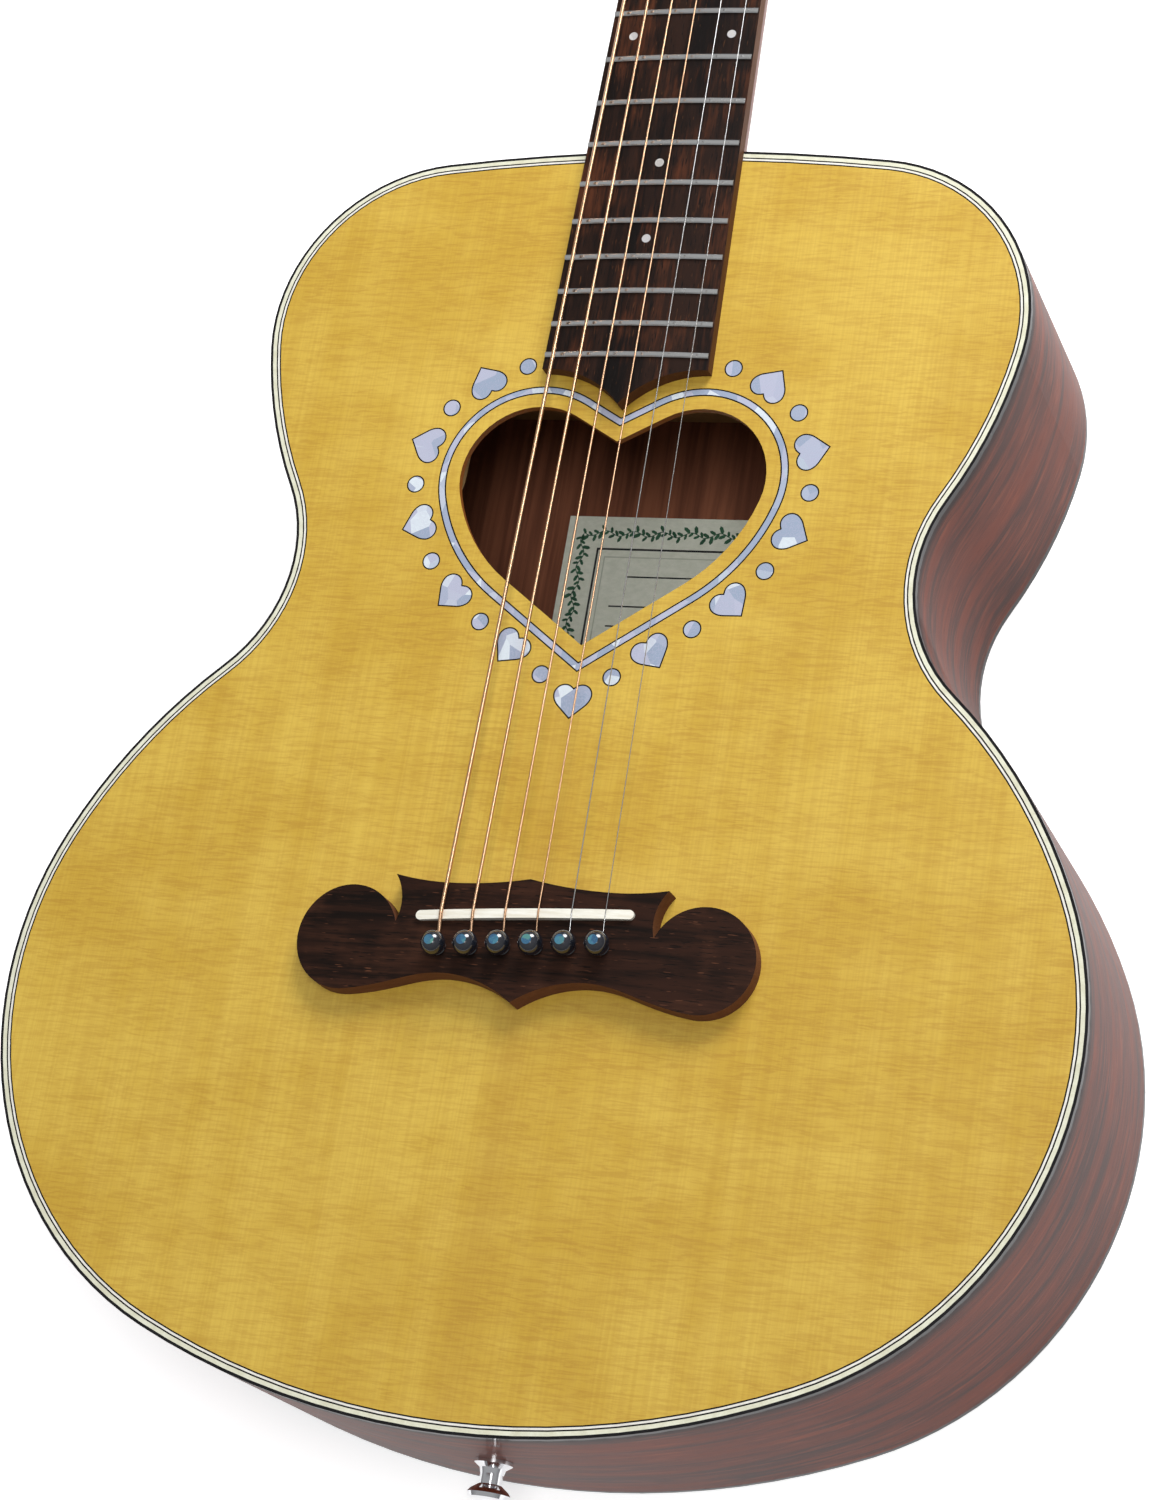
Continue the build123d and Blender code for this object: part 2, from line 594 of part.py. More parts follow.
def inlay_room(heart):
    return slab(inlay_wire(heart, LINE_W), TOP_Z - INLAY_DEEP, TOP_Z + 1)


def make_sides():
    rim = slab(BODY_WIRE, BACK_T, BELLY_Z, body_wire(SIDE_T))
    rim = rim - TENON_BOX - along_y(STRAP_SCREW_R, TAIL_Y - 1, TAIL_Y + 9, 0, STRAP_Z)
    rim -= along_y(ROD_R, ROD_LOW, ROD_HIGH, 0, ROD_Z)
    far = 2 * BODY_LENGTH
    return [rim & block(x, (-far, far), (-1, TOP_Z)) for x in ((-far, 0), (0, far))]


def inside(inset, shape):
    """A shape trimmed to the body's inside."""
    return shape & slab(body_wire(SIDE_T + inset), BACK_T, BELLY_Z)


def make_blocks():
    half = NECK_BLOCK[0] / 2
    neck_block = inside(0, block((-half, half), (BLOCK_Y, BODY_END + 1), (BACK_T, BELLY_Z)))
    neck_block -= TENON_BOX
    neck_block -= along_y(ROD_R, ROD_LOW, ROD_HIGH, 0, ROD_Z)
    for bolt in BOLTS:
        neck_block -= bolt
    half, far = TAIL_BLOCK[0] / 2, TAIL_Y + SIDE_T + TAIL_BLOCK[1]
    tail = inside(0, block((-half, half), (TAIL_Y, far), (BACK_T, BELLY_Z)))
    tail -= along_y(STRAP_SCREW_R, TAIL_Y - 1, TAIL_Y + STRAP_SCREW_L, 0, STRAP_Z)
    return neck_block, tail


def make_linings(blocks, low, high):
    ring = slab(body_wire(SIDE_T), low, high, body_wire(SIDE_T + LINING_W))
    for piece in blocks:
        box = piece.bounding_box()
        ring -= block((box.min.X, box.max.X), (box.min.Y - 1, box.max.Y + 1), (low - 1, high + 1))
    return ring


def bar(length, section, middle, turn, low=None):
    """A brace under the soundboard, or on the back when its lower face is given."""
    wide, tall = section
    end = min(BRACE_END_L * length, BRACE_END_MAX)
    half = length / 2
    rise = tall * BRACE_END_RISE
    profile = [(-half, 0), (half, 0), (half, rise), (half - end, tall), (-half + end, tall),
               (-half, rise)]
    face = Face(Wire.make_polygon([(x, 0, z) for x, z in profile], close=True))
    solid = Pos(0, wide / 2, 0) * extrude(face, wide, dir=(0, -1, 0))
    flip = Rot(0, 0, 0) if low is not None else Rot(180, 0, 0)
    place = Pos(middle[0], middle[1], low if low is not None else BELLY_Z) * Rot(0, 0, turn)
    return inside(LINING_W + JOINT_GAP, place * flip * solid)


def make_top_braces():
    """The lapped X, the bar across the upper body, the small bars and what those keep clear of."""
    cross = (0, HEART_TIP - X_BRACE_GAP)
    span = X_BRACE_SPAN * BODY_LENGTH
    first, second = (bar(span, (BRACE_W, BRACE_H), cross, 90 + side * X_BRACE_TURN)
                     for side in (-1, 1))
    middle = BELLY_Z - BRACE_H / 2
    size = 4 * BRACE_W
    lap = block((-size, size), (cross[1] - size, cross[1] + size), (middle - BRACE_H, middle))
    first_lap = first - (second & lap)
    second_lap = second - first_lap
    bar_y = (CLEFT_Y + RING_OUT + BLOCK_Y) / 2 + BAR_UP
    transverse = bar(BODY_LENGTH, CROSS_BRACE, (0, bar_y), 0)
    transverse -= along_y(ROD_HOLE_R, bar_y - CROSS_BRACE[0], bar_y + CROSS_BRACE[0], 0, ROD_Z)
    keep_out = first + second + transverse
    mirrored = [(-x, y, length, -turn) for x, y, length, turn in FINGER_BRACES]
    bars = []
    for x, y, length, turn in (*TONE_BARS, *FINGER_BRACES, *mirrored):
        place = (x * BODY_LENGTH, y * BODY_LENGTH)
        bars.append(bar(length * BODY_LENGTH, SMALL_BRACE, place, turn))
    return first_lap, second_lap, transverse, bars, keep_out


def make_bridge_plate(braces):
    """A maple plate under the bridge that fills the space between the legs of the X."""
    plate = block((-PLATE_HALF, PLATE_HALF), PLATE_ENDS, (BELLY_Z - PLATE_T, BELLY_Z))
    return plate - braces


def largest(shape):
    return max(shape.solids(), key=lambda solid: solid.volume)


# ---------------------------------------------------------------- bridge
def bridge_wire():
    """Moustache outline: a pointed middle, two horns and two round ears."""
    ear_x, ear_y, ear_r = BRIDGE_EAR
    notch, far_side, under = (Vector(ear_x, ear_y) + at_heading(heading) * ear_r
                              for heading in (EAR_NOTCH, EAR_OUT, EAR_UNDER))
    front, rear = BRIDGE_FRONT, BRIDGE_REAR
    edges = [ThreePointArc(*front[:3]), ThreePointArc(*front[2:5]),
             ThreePointArc(*front[4:], notch), ThreePointArc(notch, far_side, under),
             Spline(under, *rear[:2], tangents=[(-1, 0.12), (-1, 0)]), ThreePointArc(*rear[1:])]
    return closed(edges)


SADDLE_PLACE = Pos(0, SADDLE_Y, 0) * Rot(0, 0, SADDLE_SLANT)


def saddle_slab(low, high):
    return extrude(Pos(0, 0, low) * SADDLE_PLACE * SlotOverall(*SADDLE), high - low, dir=(0, 0, 1))


def crowned(shape, crest, radius):
    """A shape trimmed by a cylinder along Y whose highest line is the crest."""
    far = 2 * SCALE
    cylinder = Pos(0, 0, crest - radius) * Rot(90, 0, 0) * Cylinder(radius, 2 * far)
    return shape & cylinder


def pin_room(index):
    pin = pin_point(index)
    return rod(PIN_SHANK + PIN_FIT, TOP_Z - 30, TOP_Z + 20, pin.X, pin.Y)


def make_bridge():
    bridge = crowned(slab(bridge_wire(), TOP_Z, TOP_Z + BRIDGE_H + 1), TOP_Z + BRIDGE_H, BRIDGE_CROWN)
    bridge -= saddle_slab(TOP_Z + BRIDGE_H - SADDLE_DEEP, TOP_Z + 30)
    for index in range(6):
        bridge -= pin_room(index)
    return without_strings(bridge)


def make_pin(index):
    """Shank, collar and ball head, with a flat on top for the dot and a groove for the string."""
    shank, head = PIN_SHANK, PIN_HEAD
    ball = head * 0.92
    pin = turned((0, -PIN_SHANK_L), (shank - 0.5, -PIN_SHANK_L), (shank, -PIN_SHANK_L + 2),
                 (shank, 0.6), (shank + 0.5, 1.2), (shank - 0.2, 1.8), (0, 1.8))
    pin += Pos(0, 0, 1.2 + ball) * Sphere(head)
    flat = 1.2 + ball + math.sqrt(head ** 2 - PIN_DOT_R ** 2)
    pin = pin & rod(3 * head, -2 * PIN_SHANK_L, flat)
    pin -= rod(PIN_DOT_R, flat - PIN_DOT_T, flat + 1)
    place = pin_point(index)
    at = Pos(place.X, place.Y, bridge_top(place.X))
    dot = at * rod(PIN_DOT_R, flat - PIN_DOT_T, flat + 0.1)
    return at * pin - STRING_SLOTS[index], dot


def ball_end(index):
    top = string_route(index)[0]
    return Pos(top.X, top.Y, top.Z - BALL_R) * Rot(0, 90, 0) * Cylinder(BALL_R, BALL_H)


# ---------------------------------------------------------------- fingerboard
def board_blank(low, high):
    """The board's plan: straight tapered sides, a nut end, and arcs that follow the shell ring."""
    corners = [(board_half(y) * side, y) for side, y in
               ((-1, LOBE_Y), (1, LOBE_Y), (1, SCALE), (-1, SCALE))]
    blank = extrude(Pos(0, 0, low) * Face(Wire.make_polygon(corners, close=True)), high - low,
                    dir=(0, 0, 1))
    for side in (-1, 1):
        blank -= rod(BOARD_END_R, low - 1, high + 1, side * LOBE.X, LOBE_Y)
    return blank


BOARD_AXIS = Axis((0, 0, TOP_Z + BOARD_T - BOARD_RADIUS), (0, 1, 0))


def fret_strip(y, points, trim):
    """A profile at (along, up) from the board's crest, turned about the board's own axis."""
    crest = TOP_Z + BOARD_T
    face = Face(Wire.make_polygon([(0, y + along, crest + up) for along, up in points], close=True))
    angle = 2 * math.degrees(math.asin((board_half(y) - trim) / BOARD_RADIUS))
    return revolve(face, BOARD_AXIS, angle).rotate(BOARD_AXIS, -angle / 2)


def fret_profile():
    """Tang and crown in one, the crown as half of an eight-sided round."""
    w, h, t = FRET_W / 2, FRET_H, TANG_W / 2
    crown = [(w, 0), (w * 0.92, h * 0.45), (w * 0.62, h * 0.84), (w * 0.22, h)]
    mirrored = [(-along, up) for along, up in reversed(crown)]
    return [(t, -TANG_H), (t, 0)] + crown + mirrored + [(-t, 0), (-t, -TANG_H)]


def make_frets():
    return [fret_strip(fret_y(number), fret_profile(), FRET_END) for number in range(1, FRETS + 1)]


def marker_rods():
    spots = []
    for number, half in MARKERS:
        y = (fret_y(number) + fret_y(number - 1)) / 2
        spots += [(x, y) for x in ((-half, half) if half else (0,))]
    crest = TOP_Z + BOARD_T
    rods = [rod(MARKER_R, crest - MARKER_DEEP - crown_drop(x), crest + 1, x, y) for x, y in spots]
    return [crowned(piece, crest, BOARD_RADIUS) for piece in rods]


def make_fingerboard(markers):
    board = crowned(board_blank(TOP_Z, TOP_Z + BOARD_T), TOP_Z + BOARD_T, BOARD_RADIUS)
    tang = [(TANG_W / 2, -TANG_H), (TANG_W / 2, 1), (-TANG_W / 2, 1), (-TANG_W / 2, -TANG_H)]
    for number in range(1, FRETS + 1):
        board -= fret_strip(fret_y(number), tang, FRET_END)
    for marker in markers:
        board -= marker
    return board


def make_nut():
    half = board_half(SCALE)
    nut = block((-half, half), (SCALE, SCALE + NUT_T), (TOP_Z, TOP_Z + NUT_H))
    nut = crowned(nut, TOP_Z + NUT_H, BOARD_RADIUS)
    slope = Plane(origin=(0, SCALE + 1.5, TOP_Z + NUT_H), z_dir=HEAD.z_dir)
    over = slope.location * Pos(0, 0, 20) * Box(4 * half, 60, 40)
    ahead = block((-2 * half, 2 * half), (SCALE - 40, SCALE + 1.5), (0, 3 * TOP_Z))
    return without_strings(nut - (over - ahead))


# ---------------------------------------------------------------- strap button
def make_strap_button():
    base, waist, head, height = STRAP
    shape = turned((0, 0), (base, 0), (base, 1.2), (waist + 0.5, 2.6), (waist, 4.5),
                   (waist, height * 0.6), (head - 1.0, height * 0.74), (head, height * 0.84),
                   (head - 0.6, height * 0.95), (head - 2.0, height), (3.9, height),
                   (2.2, height - 1.6), (0, height - 1.6))
    bore = rod(STRAP_SCREW_R, -1, height)
    screw = turned((0, -STRAP_SCREW_L), (STRAP_SCREW_R, -STRAP_SCREW_L + 4),
                   (STRAP_SCREW_R, height - 1.6), (3.4, height - 0.4), (2.6, height + 0.1),
                   (0, height + 0.3))
    slot = block((-4, 4), (-0.35, 0.35), (height - 0.6, height + 1))
    place = Pos(0, TAIL_Y, STRAP_Z) * Rot(90, 0, 0)
    shape -= screw
    return place * (shape - bore), place * (screw - slot)


# ---------------------------------------------------------------- build and save
WORM = make_worm()
SOUNDBOARD = make_soundboard()
PLACES = inlay_places()
NECK_BLOCK_PIECE, TAIL_BLOCK_PIECE = make_blocks()
X_FIRST, X_SECOND, TRANSVERSE, SMALL_BARS, KEEP_OUT = make_top_braces()
PLATE = make_bridge_plate(KEEP_OUT)

for index in range(6):
    SOUNDBOARD -= pin_room(index)
    PLATE -= pin_room(index)
save("soundboard", without_strings(SOUNDBOARD))
PLATE = without_strings(largest(PLATE))
save("bridge_plate", PLATE)

plate_reach = PLATE_HALF + PLATE_CLEAR
plate_room = block((-plate_reach, plate_reach),
                   (PLATE_ENDS[0] - PLATE_CLEAR, PLATE_ENDS[1] + PLATE_CLEAR), (0, TOP_Z))
tail_end = TAIL_Y + SIDE_T + TAIL_BLOCK[1] + BLOCK_CLEAR
tail_room = block((-TAIL_BLOCK[0], TAIL_BLOCK[0]), (TAIL_Y, tail_end), (0, TOP_Z))
tone_bars = [largest(piece - KEEP_OUT - plate_room - tail_room) for piece in SMALL_BARS]
save("x_braces", X_FIRST, X_SECOND)
save("transverse_brace", TRANSVERSE)
save("tone_bars", *tone_bars)

save("neck_block", NECK_BLOCK_PIECE)
save("tail_block", TAIL_BLOCK_PIECE)
blocks = (NECK_BLOCK_PIECE, TAIL_BLOCK_PIECE)
save("top_linings", make_linings(blocks, BELLY_Z - LINING_H, BELLY_Z))
save("back_linings", make_linings(blocks, BACK_T, BACK_T + LINING_H))
side_bass, side_treble = make_sides()
save("side_bass", side_bass)
save("side_treble", side_treble)

back_plate = slab(body_wire(BINDING_W), 0, BACK_T)
save("back_plate", back_plate)
strip_w, strip_t = BACK_STRIP
label_far = CLEFT_Y + LABEL_PAST
label_near = label_far - LABEL[1]
save("label", block((-LABEL[0] / 2, LABEL[0] / 2), (label_near, label_far),
                    (BACK_T, BACK_T + LABEL[2])))
brace_rows = [label_far + BRACE_PAST_LABEL, label_near - BRACE_BEFORE_LABEL]
brace_rows += [TAIL_Y + share * BODY_LENGTH for share in BACK_ROWS]
back_bars = [bar(BODY_LENGTH, BACK_BRACE, (0, y), 0, BACK_T) for y in brace_rows]
runs = [(brace_rows[0], BLOCK_Y - BLOCK_CLEAR), (brace_rows[2], brace_rows[1]),
        (brace_rows[3], brace_rows[2]), (tail_end, brace_rows[3])]
half_bar = BACK_BRACE[0] / 2 + JOINT_GAP
strips = [block((-strip_w / 2, strip_w / 2), (low + half_bar, high - half_bar),
                (BACK_T, BACK_T + strip_t)) for low, high in runs]
save("back_braces", *back_bars, *strips)

save("binding", slab(BODY_WIRE, BELLY_Z, TOP_Z, body_wire(BINDING_W)),
     slab(BODY_WIRE, 0, BACK_T, body_wire(BINDING_W)))
rings, inset = {}, BINDING_W
for name, width in PURFLING:
    ring = slab(body_wire(inset), TOP_Z - PURFLING_DEEP, TOP_Z, body_wire(inset + width))
    rings.setdefault(name, []).append(ring)
    inset += width
for name, pieces in rings.items():
    save(name, *pieces)

low = TOP_Z - INLAY_DEEP
ring_edges = (RING_IN, RING_IN + LINE_W, RING_OUT - LINE_W, RING_OUT)
bands = [AT_HOLE * slab(heart_wire(HOLE, outer), low, TOP_Z, heart_wire(HOLE, inner))
         for inner, outer in zip(ring_edges, ring_edges[1:])]
save("rosette_ring", bands[1])
shells = [place * slab(inlay_wire(heart, 0), low, TOP_Z) for place, heart in PLACES]
lines = [place * slab(inlay_wire(heart, LINE_W), low, TOP_Z, inlay_wire(heart, 0))
         for place, heart in PLACES]
save("shell_inlays", *shells)
save("inlay_lines", bands[0], bands[2], *lines)

save("bridge", make_bridge())
saddle_blank = saddle_slab(TOP_Z + BRIDGE_H - SADDLE_DEEP, TOP_Z + SADDLE_TOP + 1)
save("saddle", without_strings(crowned(saddle_blank, TOP_Z + SADDLE_TOP, BOARD_RADIUS)))
pins = [make_pin(index) for index in range(6)]
save("bridge_pins", *[pin for pin, dot in pins])
save("pin_dots", *[dot for pin, dot in pins])

markers = marker_rods()
save("fingerboard", make_fingerboard(markers))
save("fret_markers", *markers)
save("frets", *make_frets())
save("nut", make_nut())

save("neck", make_neck())
veneer = head_slab(0, VENEER_T)
throat_veneer = HEAD * slab(Wire.make_polygon(
    [(-board_half(SCALE), -3), (board_half(SCALE), -3), (head_half(HEAD_START), HEAD_START),
     (-head_half(HEAD_START), HEAD_START)], close=True), 0, VENEER_T)
veneer = veneer + (throat_veneer - block((-60, 60), (0, SCALE + NUT_T), (0, 2 * TOP_Z)))
for index in range(6):
    veneer -= HEAD * tuner_room(index)
save("head_plate", veneer)
cap_face = EllipticalCenterArc((0, 0), HEEL[-1][1], HEEL[-1][2], start_angle=0, arc_size=180)
cap = extrude(Pos(0, BODY_END - NECK_IN, BACK_T - HEEL_CAP_T) * Face(
    Wire([cap_face, Line(cap_face @ 1, cap_face @ 0)])), HEEL_CAP_T, dir=(0, 0, 1))
save("heel_cap", cap - slab(BODY_WIRE, -1, TOP_Z))
save("neck_bolts", *BOLTS)
save("truss_rod", along_y(ROD_R, ROD_LOW, ROD_HIGH, 0, ROD_Z))
nut_r, nut_l = ROD_NUT
key = Pos(0, ROD_LOW - nut_l + 4, ROD_Z) * Rot(90, 0, 0) * extrude(
    RegularPolygon(ROD_KEY, 6, major_radius=False), 12)
barrel = along_y(nut_r, ROD_LOW - nut_l + 6, BLOCK_Y - 0.5, 0, ROD_Z)
save("truss_rod_nut", barrel - key - along_y(ROD_R + RUNNING, ROD_LOW - 0.5, ROD_HIGH, 0, ROD_Z))
save("strap_button", *make_strap_button())

cases, covers, bushings, screws = [], [], [], []
for index in range(6):
    side, place = post_place(index)
    at = at_post(index)
    cases.append(HEAD * (at * make_case(side)))
    covers.append(HEAD * (at * make_cover()))
    bushings += [HEAD * (at * piece) for piece in make_bushing()]
    screws.append(HEAD * (at * make_tab_screw()))
    save(f"tuner_post_{index + 1}", *[HEAD * (at * piece) for piece in make_post()])
    save(f"tuner_knob_{index + 1}", HEAD * (at * make_knob(side, POST_IN)))
    save(f"string_coil_{index + 1}", *[HEAD * (at * piece) for piece in make_coil(index)])
save("tuner_cases", *cases)
save("tuner_covers", *covers)
save("tuner_bushings", *bushings)
save("tuner_screws", *screws)

strings = [[string_tube(index), ball_end(index)] for index in range(6)]
save("wound_strings", *[piece for pair in strings[:WOUND] for piece in pair])
save("plain_strings", *[piece for pair in strings[WOUND:] for piece in pair])
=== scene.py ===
# %% [markdown]
# # A small-bodied steel-string guitar with a heart sound hole
#
# The guitar lies on its back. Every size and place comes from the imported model, which is
# loaded first and never moved. What this script adds is the finish of each piece: wood with
# its grain, shell with its facets, plated metal, wound strings and a printed label.

# %% Load the frame
import math

import bmesh
import bpy
from mathutils import Euler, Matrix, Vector


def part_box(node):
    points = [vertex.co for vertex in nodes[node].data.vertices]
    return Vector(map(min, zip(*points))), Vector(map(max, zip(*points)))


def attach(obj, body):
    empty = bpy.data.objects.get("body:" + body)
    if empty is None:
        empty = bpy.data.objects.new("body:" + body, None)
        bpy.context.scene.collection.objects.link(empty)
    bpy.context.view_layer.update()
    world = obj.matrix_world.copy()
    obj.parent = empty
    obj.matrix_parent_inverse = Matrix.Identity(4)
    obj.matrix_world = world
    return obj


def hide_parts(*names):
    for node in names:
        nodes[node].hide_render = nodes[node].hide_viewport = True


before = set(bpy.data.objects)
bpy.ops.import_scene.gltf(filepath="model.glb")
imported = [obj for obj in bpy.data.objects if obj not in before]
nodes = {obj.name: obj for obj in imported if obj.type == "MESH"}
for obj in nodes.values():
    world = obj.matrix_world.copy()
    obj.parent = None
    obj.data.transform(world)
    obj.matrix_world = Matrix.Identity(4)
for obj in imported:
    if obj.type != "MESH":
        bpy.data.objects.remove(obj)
bpy.context.view_layer.update()

# %% [markdown]
# ## Camera
#
# A long lens far away keeps the neck and the lower bout in nearly the same scale, as in a
# catalogue picture. The camera stands in front of the lower bout, a little to the treble
# side, and looks down at the top. Its small shift slides the picture without turning the
# view, so the sides of the body keep their slant.

# %% Camera
CAMERA_PLACE = (0.43062, -0.31723, 1.17241)
CAMERA_TURN = (24.397, 17.978, 9.710)
LENS_MM = 86.206
CAMERA_SHIFT = (-0.01633, -0.12667)

camera = bpy.data.objects.new("camera", bpy.data.cameras.new("camera"))
bpy.context.collection.objects.link(camera)
camera.location = CAMERA_PLACE
camera.rotation_euler = Euler([math.radians(angle) for angle in CAMERA_TURN])
camera.data.lens = LENS_MM
camera.data.shift_x, camera.data.shift_y = CAMERA_SHIFT
bpy.context.scene.camera = camera
print("lens", camera.data.lens, "mm")

# %% [markdown]
# ## Floor and light
#
# Gloss needs something to mirror. One broad lamp hangs high in front, where the flat top
# doesn't mirror it into the lens, and reaches down through the sound hole. A second one
# beyond the neck brightens the upper bout. A pale sky that darkens towards the horizon puts
# both light and dark into the polished metal. The floor is a plain sheet that lets rays pass
# from below, so the back of the guitar can be looked at as well.

# %% Floor and light
FLOOR_HALF = 6.0
FLOOR_DROP = 0.0006
bpy.context.scene.view_settings.view_transform = "Standard"


def floor_sheet():
    mesh = bpy.data.meshes.new("floor")
    corners = [(x * FLOOR_HALF, y * FLOOR_HALF, -FLOOR_DROP)
               for x, y in ((-1, -1), (1, -1), (1, 1), (-1, 1))]
    mesh.from_pydata(corners, [], [(0, 1, 2, 3)])
    sheet = bpy.data.objects.new("floor", mesh)
    bpy.context.collection.objects.link(sheet)
    return sheet


def floor_paper():
    material = bpy.data.materials.new("floor_paper")
    material.use_nodes = True
    tree = material.node_tree
    skin = tree.nodes["Principled BSDF"]
    skin.inputs["Base Color"].default_value = (0.93, 0.93, 0.93, 1)
    skin.inputs["Roughness"].default_value = 0.9
    skin.inputs["Emission Color"].default_value = (1, 1, 1, 1)
    skin.inputs["Emission Strength"].default_value = 0.5
    clear = tree.nodes.new("ShaderNodeBsdfTransparent")
    below = tree.nodes.new("ShaderNodeNewGeometry")
    either = tree.nodes.new("ShaderNodeMixShader")
    tree.links.new(below.outputs["Backfacing"], either.inputs[0])
    tree.links.new(skin.outputs[0], either.inputs[1])
    tree.links.new(clear.outputs[0], either.inputs[2])
    tree.links.new(either.outputs[0], tree.nodes["Material Output"].inputs["Surface"])
    return material


def lamp(name, place, aim, size, watts):
    light = bpy.data.lights.new(name, "AREA")
    light.shape, light.size, light.energy = "DISK", size, watts
    holder = bpy.data.objects.new(name, light)
    holder.location = place
    holder.rotation_euler = (Vector(aim) - Vector(place)).to_track_quat("-Z", "Y").to_euler()
    bpy.context.collection.objects.link(holder)


floor = floor_sheet()
floor.data.materials.append(floor_paper())
lamp("front_lamp", (0.75, -0.35, 2.6), (0, 0.1, 0.1), 1.0, 27)
lamp("neck_lamp", (0.50, 1.30, 0.98), (0.07, 0.24, 0.1), 0.9, 25)

# %% [markdown]
# The sky is what the plated tuners and the polished sides mirror. A picture of a studio could
# stand in its place; a plain ramp from grey at the horizon to pale above is enough here, and
# it keeps the colours of the wood neutral.

# %% Sky
sky = bpy.data.worlds.new("sky")
sky.use_nodes = True
bpy.context.scene.world = sky
sky_nodes, sky_links = sky.node_tree.nodes, sky.node_tree.links
heading = sky_nodes.new("ShaderNodeTexCoord")
height = sky_nodes.new("ShaderNodeSeparateXYZ")
tones = sky_nodes.new("ShaderNodeValToRGB")
tones.color_ramp.elements[0].position = 0.0
tones.color_ramp.elements[0].color = (0.50, 0.51, 0.53, 1)
tones.color_ramp.elements[1].position = 0.55
tones.color_ramp.elements[1].color = (0.92, 0.93, 0.95, 1)
sky_links.new(heading.outputs["Generated"], height.inputs[0])
sky_links.new(height.outputs["Z"], tones.inputs[0])
sky_links.new(tones.outputs[0], sky_nodes["Background"].inputs["Color"])
sky_nodes["Background"].inputs["Strength"].default_value = 0.42
print("sky", sky.name)

# %% [markdown]
# ## Shader maths as Python
#
# A finish is a graph of nodes, and a graph written out node by node hides the idea. So one
# small class wraps a socket: `1 - rings * 0.3` adds the two Math nodes it needs. A second
# class holds the material. Its one method `node` makes any other node from its type, its
# settings and the values or links of its sockets.

# %% Shader helpers
def plug(tree, entry, value):
    if isinstance(value, Value):
        tree.links.new(value.socket, entry)
    else:
        entry.default_value = value


class Value:
    """One output socket, with Python's operators."""

    def __init__(self, tree, socket):
        self.tree, self.socket = tree, socket

    def maths(self, operation, first, second=0.0):
        node = self.tree.nodes.new("ShaderNodeMath")
        node.operation = operation
        plug(self.tree, node.inputs[0], first)
        plug(self.tree, node.inputs[1], second)
        return Value(self.tree, node.outputs[0])

    def __add__(self, other):
        return self.maths("ADD", self, other)

    def __radd__(self, other):
        return self.maths("ADD", other, self)

    def __sub__(self, other):
        return self.maths("SUBTRACT", self, other)

    def __rsub__(self, other):
        return self.maths("SUBTRACT", other, self)

    def __mul__(self, other):
        return self.maths("MULTIPLY", self, other)

    def __rmul__(self, other):
        return self.maths("MULTIPLY", other, self)

    def __abs__(self):
        return self.maths("ABSOLUTE", self)

    def sine(self):
        return self.maths("SINE", self)


def shade(red, green, blue):
    """A screen colour, 0 to 255, as the linear colour that a socket takes."""
    parts = [channel / 255 for channel in (red, green, blue)]
    linear = (c / 12.92 if c <= 0.04045 else ((c + 0.055) / 1.055) ** 2.4 for c in parts)
    return (*linear, 1.0)


class Finish:
    """A material: one Principled shader and the nodes that feed it."""

    def __init__(self, name, **constants):
        self.material = bpy.data.materials.new(name)
        self.material.use_nodes = True
        self.tree = self.material.node_tree
        self.feed(**constants)
        self.place = self.node("TexCoord", output="Object")

    def feed(self, **values):
        """Sets or links the shader's sockets: coat_weight stands for Coat Weight."""
        skin = self.tree.nodes["Principled BSDF"]
        for name, value in values.items():
            socket = name.replace("_", " ").title().replace("Ior", "IOR")
            plug(self.tree, skin.inputs[socket], value)
        return self

    def node(self, kind, settings=(), values=(), output=0):
        made = self.tree.nodes.new("ShaderNode" + kind)
        for name, value in dict(settings).items():
            setattr(made, name, value)
        for name, value in dict(values).items():
            plug(self.tree, made.inputs[name], value)
        return Value(self.tree, made.outputs[output])

    def noise(self, per_metre, detail=3.0, rough=0.55, bend=0.0, shift=(0, 0, 0)):
        """Soft noise, 0 to 1, with its own number of features per metre along X, Y and Z."""
        spot = self.node("Mapping", (), {"Vector": self.place, "Location": shift,
                                         "Scale": per_metre})
        return self.node("TexNoise", (), {"Vector": spot, "Scale": 1.0, "Detail": detail,
                                          "Roughness": rough, "Distortion": bend})

    def cells(self, per_metre):
        """Flat cells, each with a random colour of its own."""
        spot = self.node("Mapping", (), {"Vector": self.place, "Scale": per_metre})
        return self.node("TexVoronoi", (), {"Vector": spot, "Scale": 1.0}, output="Color")

    def step(self, value, low, high):
        """0 below low, 1 above high and a smooth step between."""
        return self.node("MapRange", {"interpolation_type": "SMOOTHSTEP"},
                         {"Value": value, "From Min": low, "From Max": high})

    def mix(self, share, first, second):
        return self.node("Mix", {"data_type": "RGBA"}, {0: share, 6: first, 7: second}, output=2)

    def axis(self, name, of=None):
        return self.node("SeparateXYZ", (), {"Vector": of or self.place}, output=name)

    def upward(self):
        """How far a surface faces up, -1 to 1."""
        return self.axis("Z", self.node("NewGeometry", output="Normal"))

    def bump(self, height, depth, strength=1.0):
        """Raises the surface by the height, in metres for each unit."""
        return self.feed(normal=self.node("Bump", (), {"Height": height, "Distance": depth,
                                                       "Strength": strength}))


print("helpers ready")

# %% [markdown]
# ## Spruce
#
# A soundboard is two mirrored halves of quarter-sawn spruce. Its growth lines run along the
# strings, under a millimetre apart, and short silky streaks cross them where the medullary
# rays show. Stretching one noise along Y and another along X gives both. The lacquer is a
# clear coat over a softer base. The wall of the sound hole shows end grain, which drinks
# more colour, so a face that doesn't point up is darker.

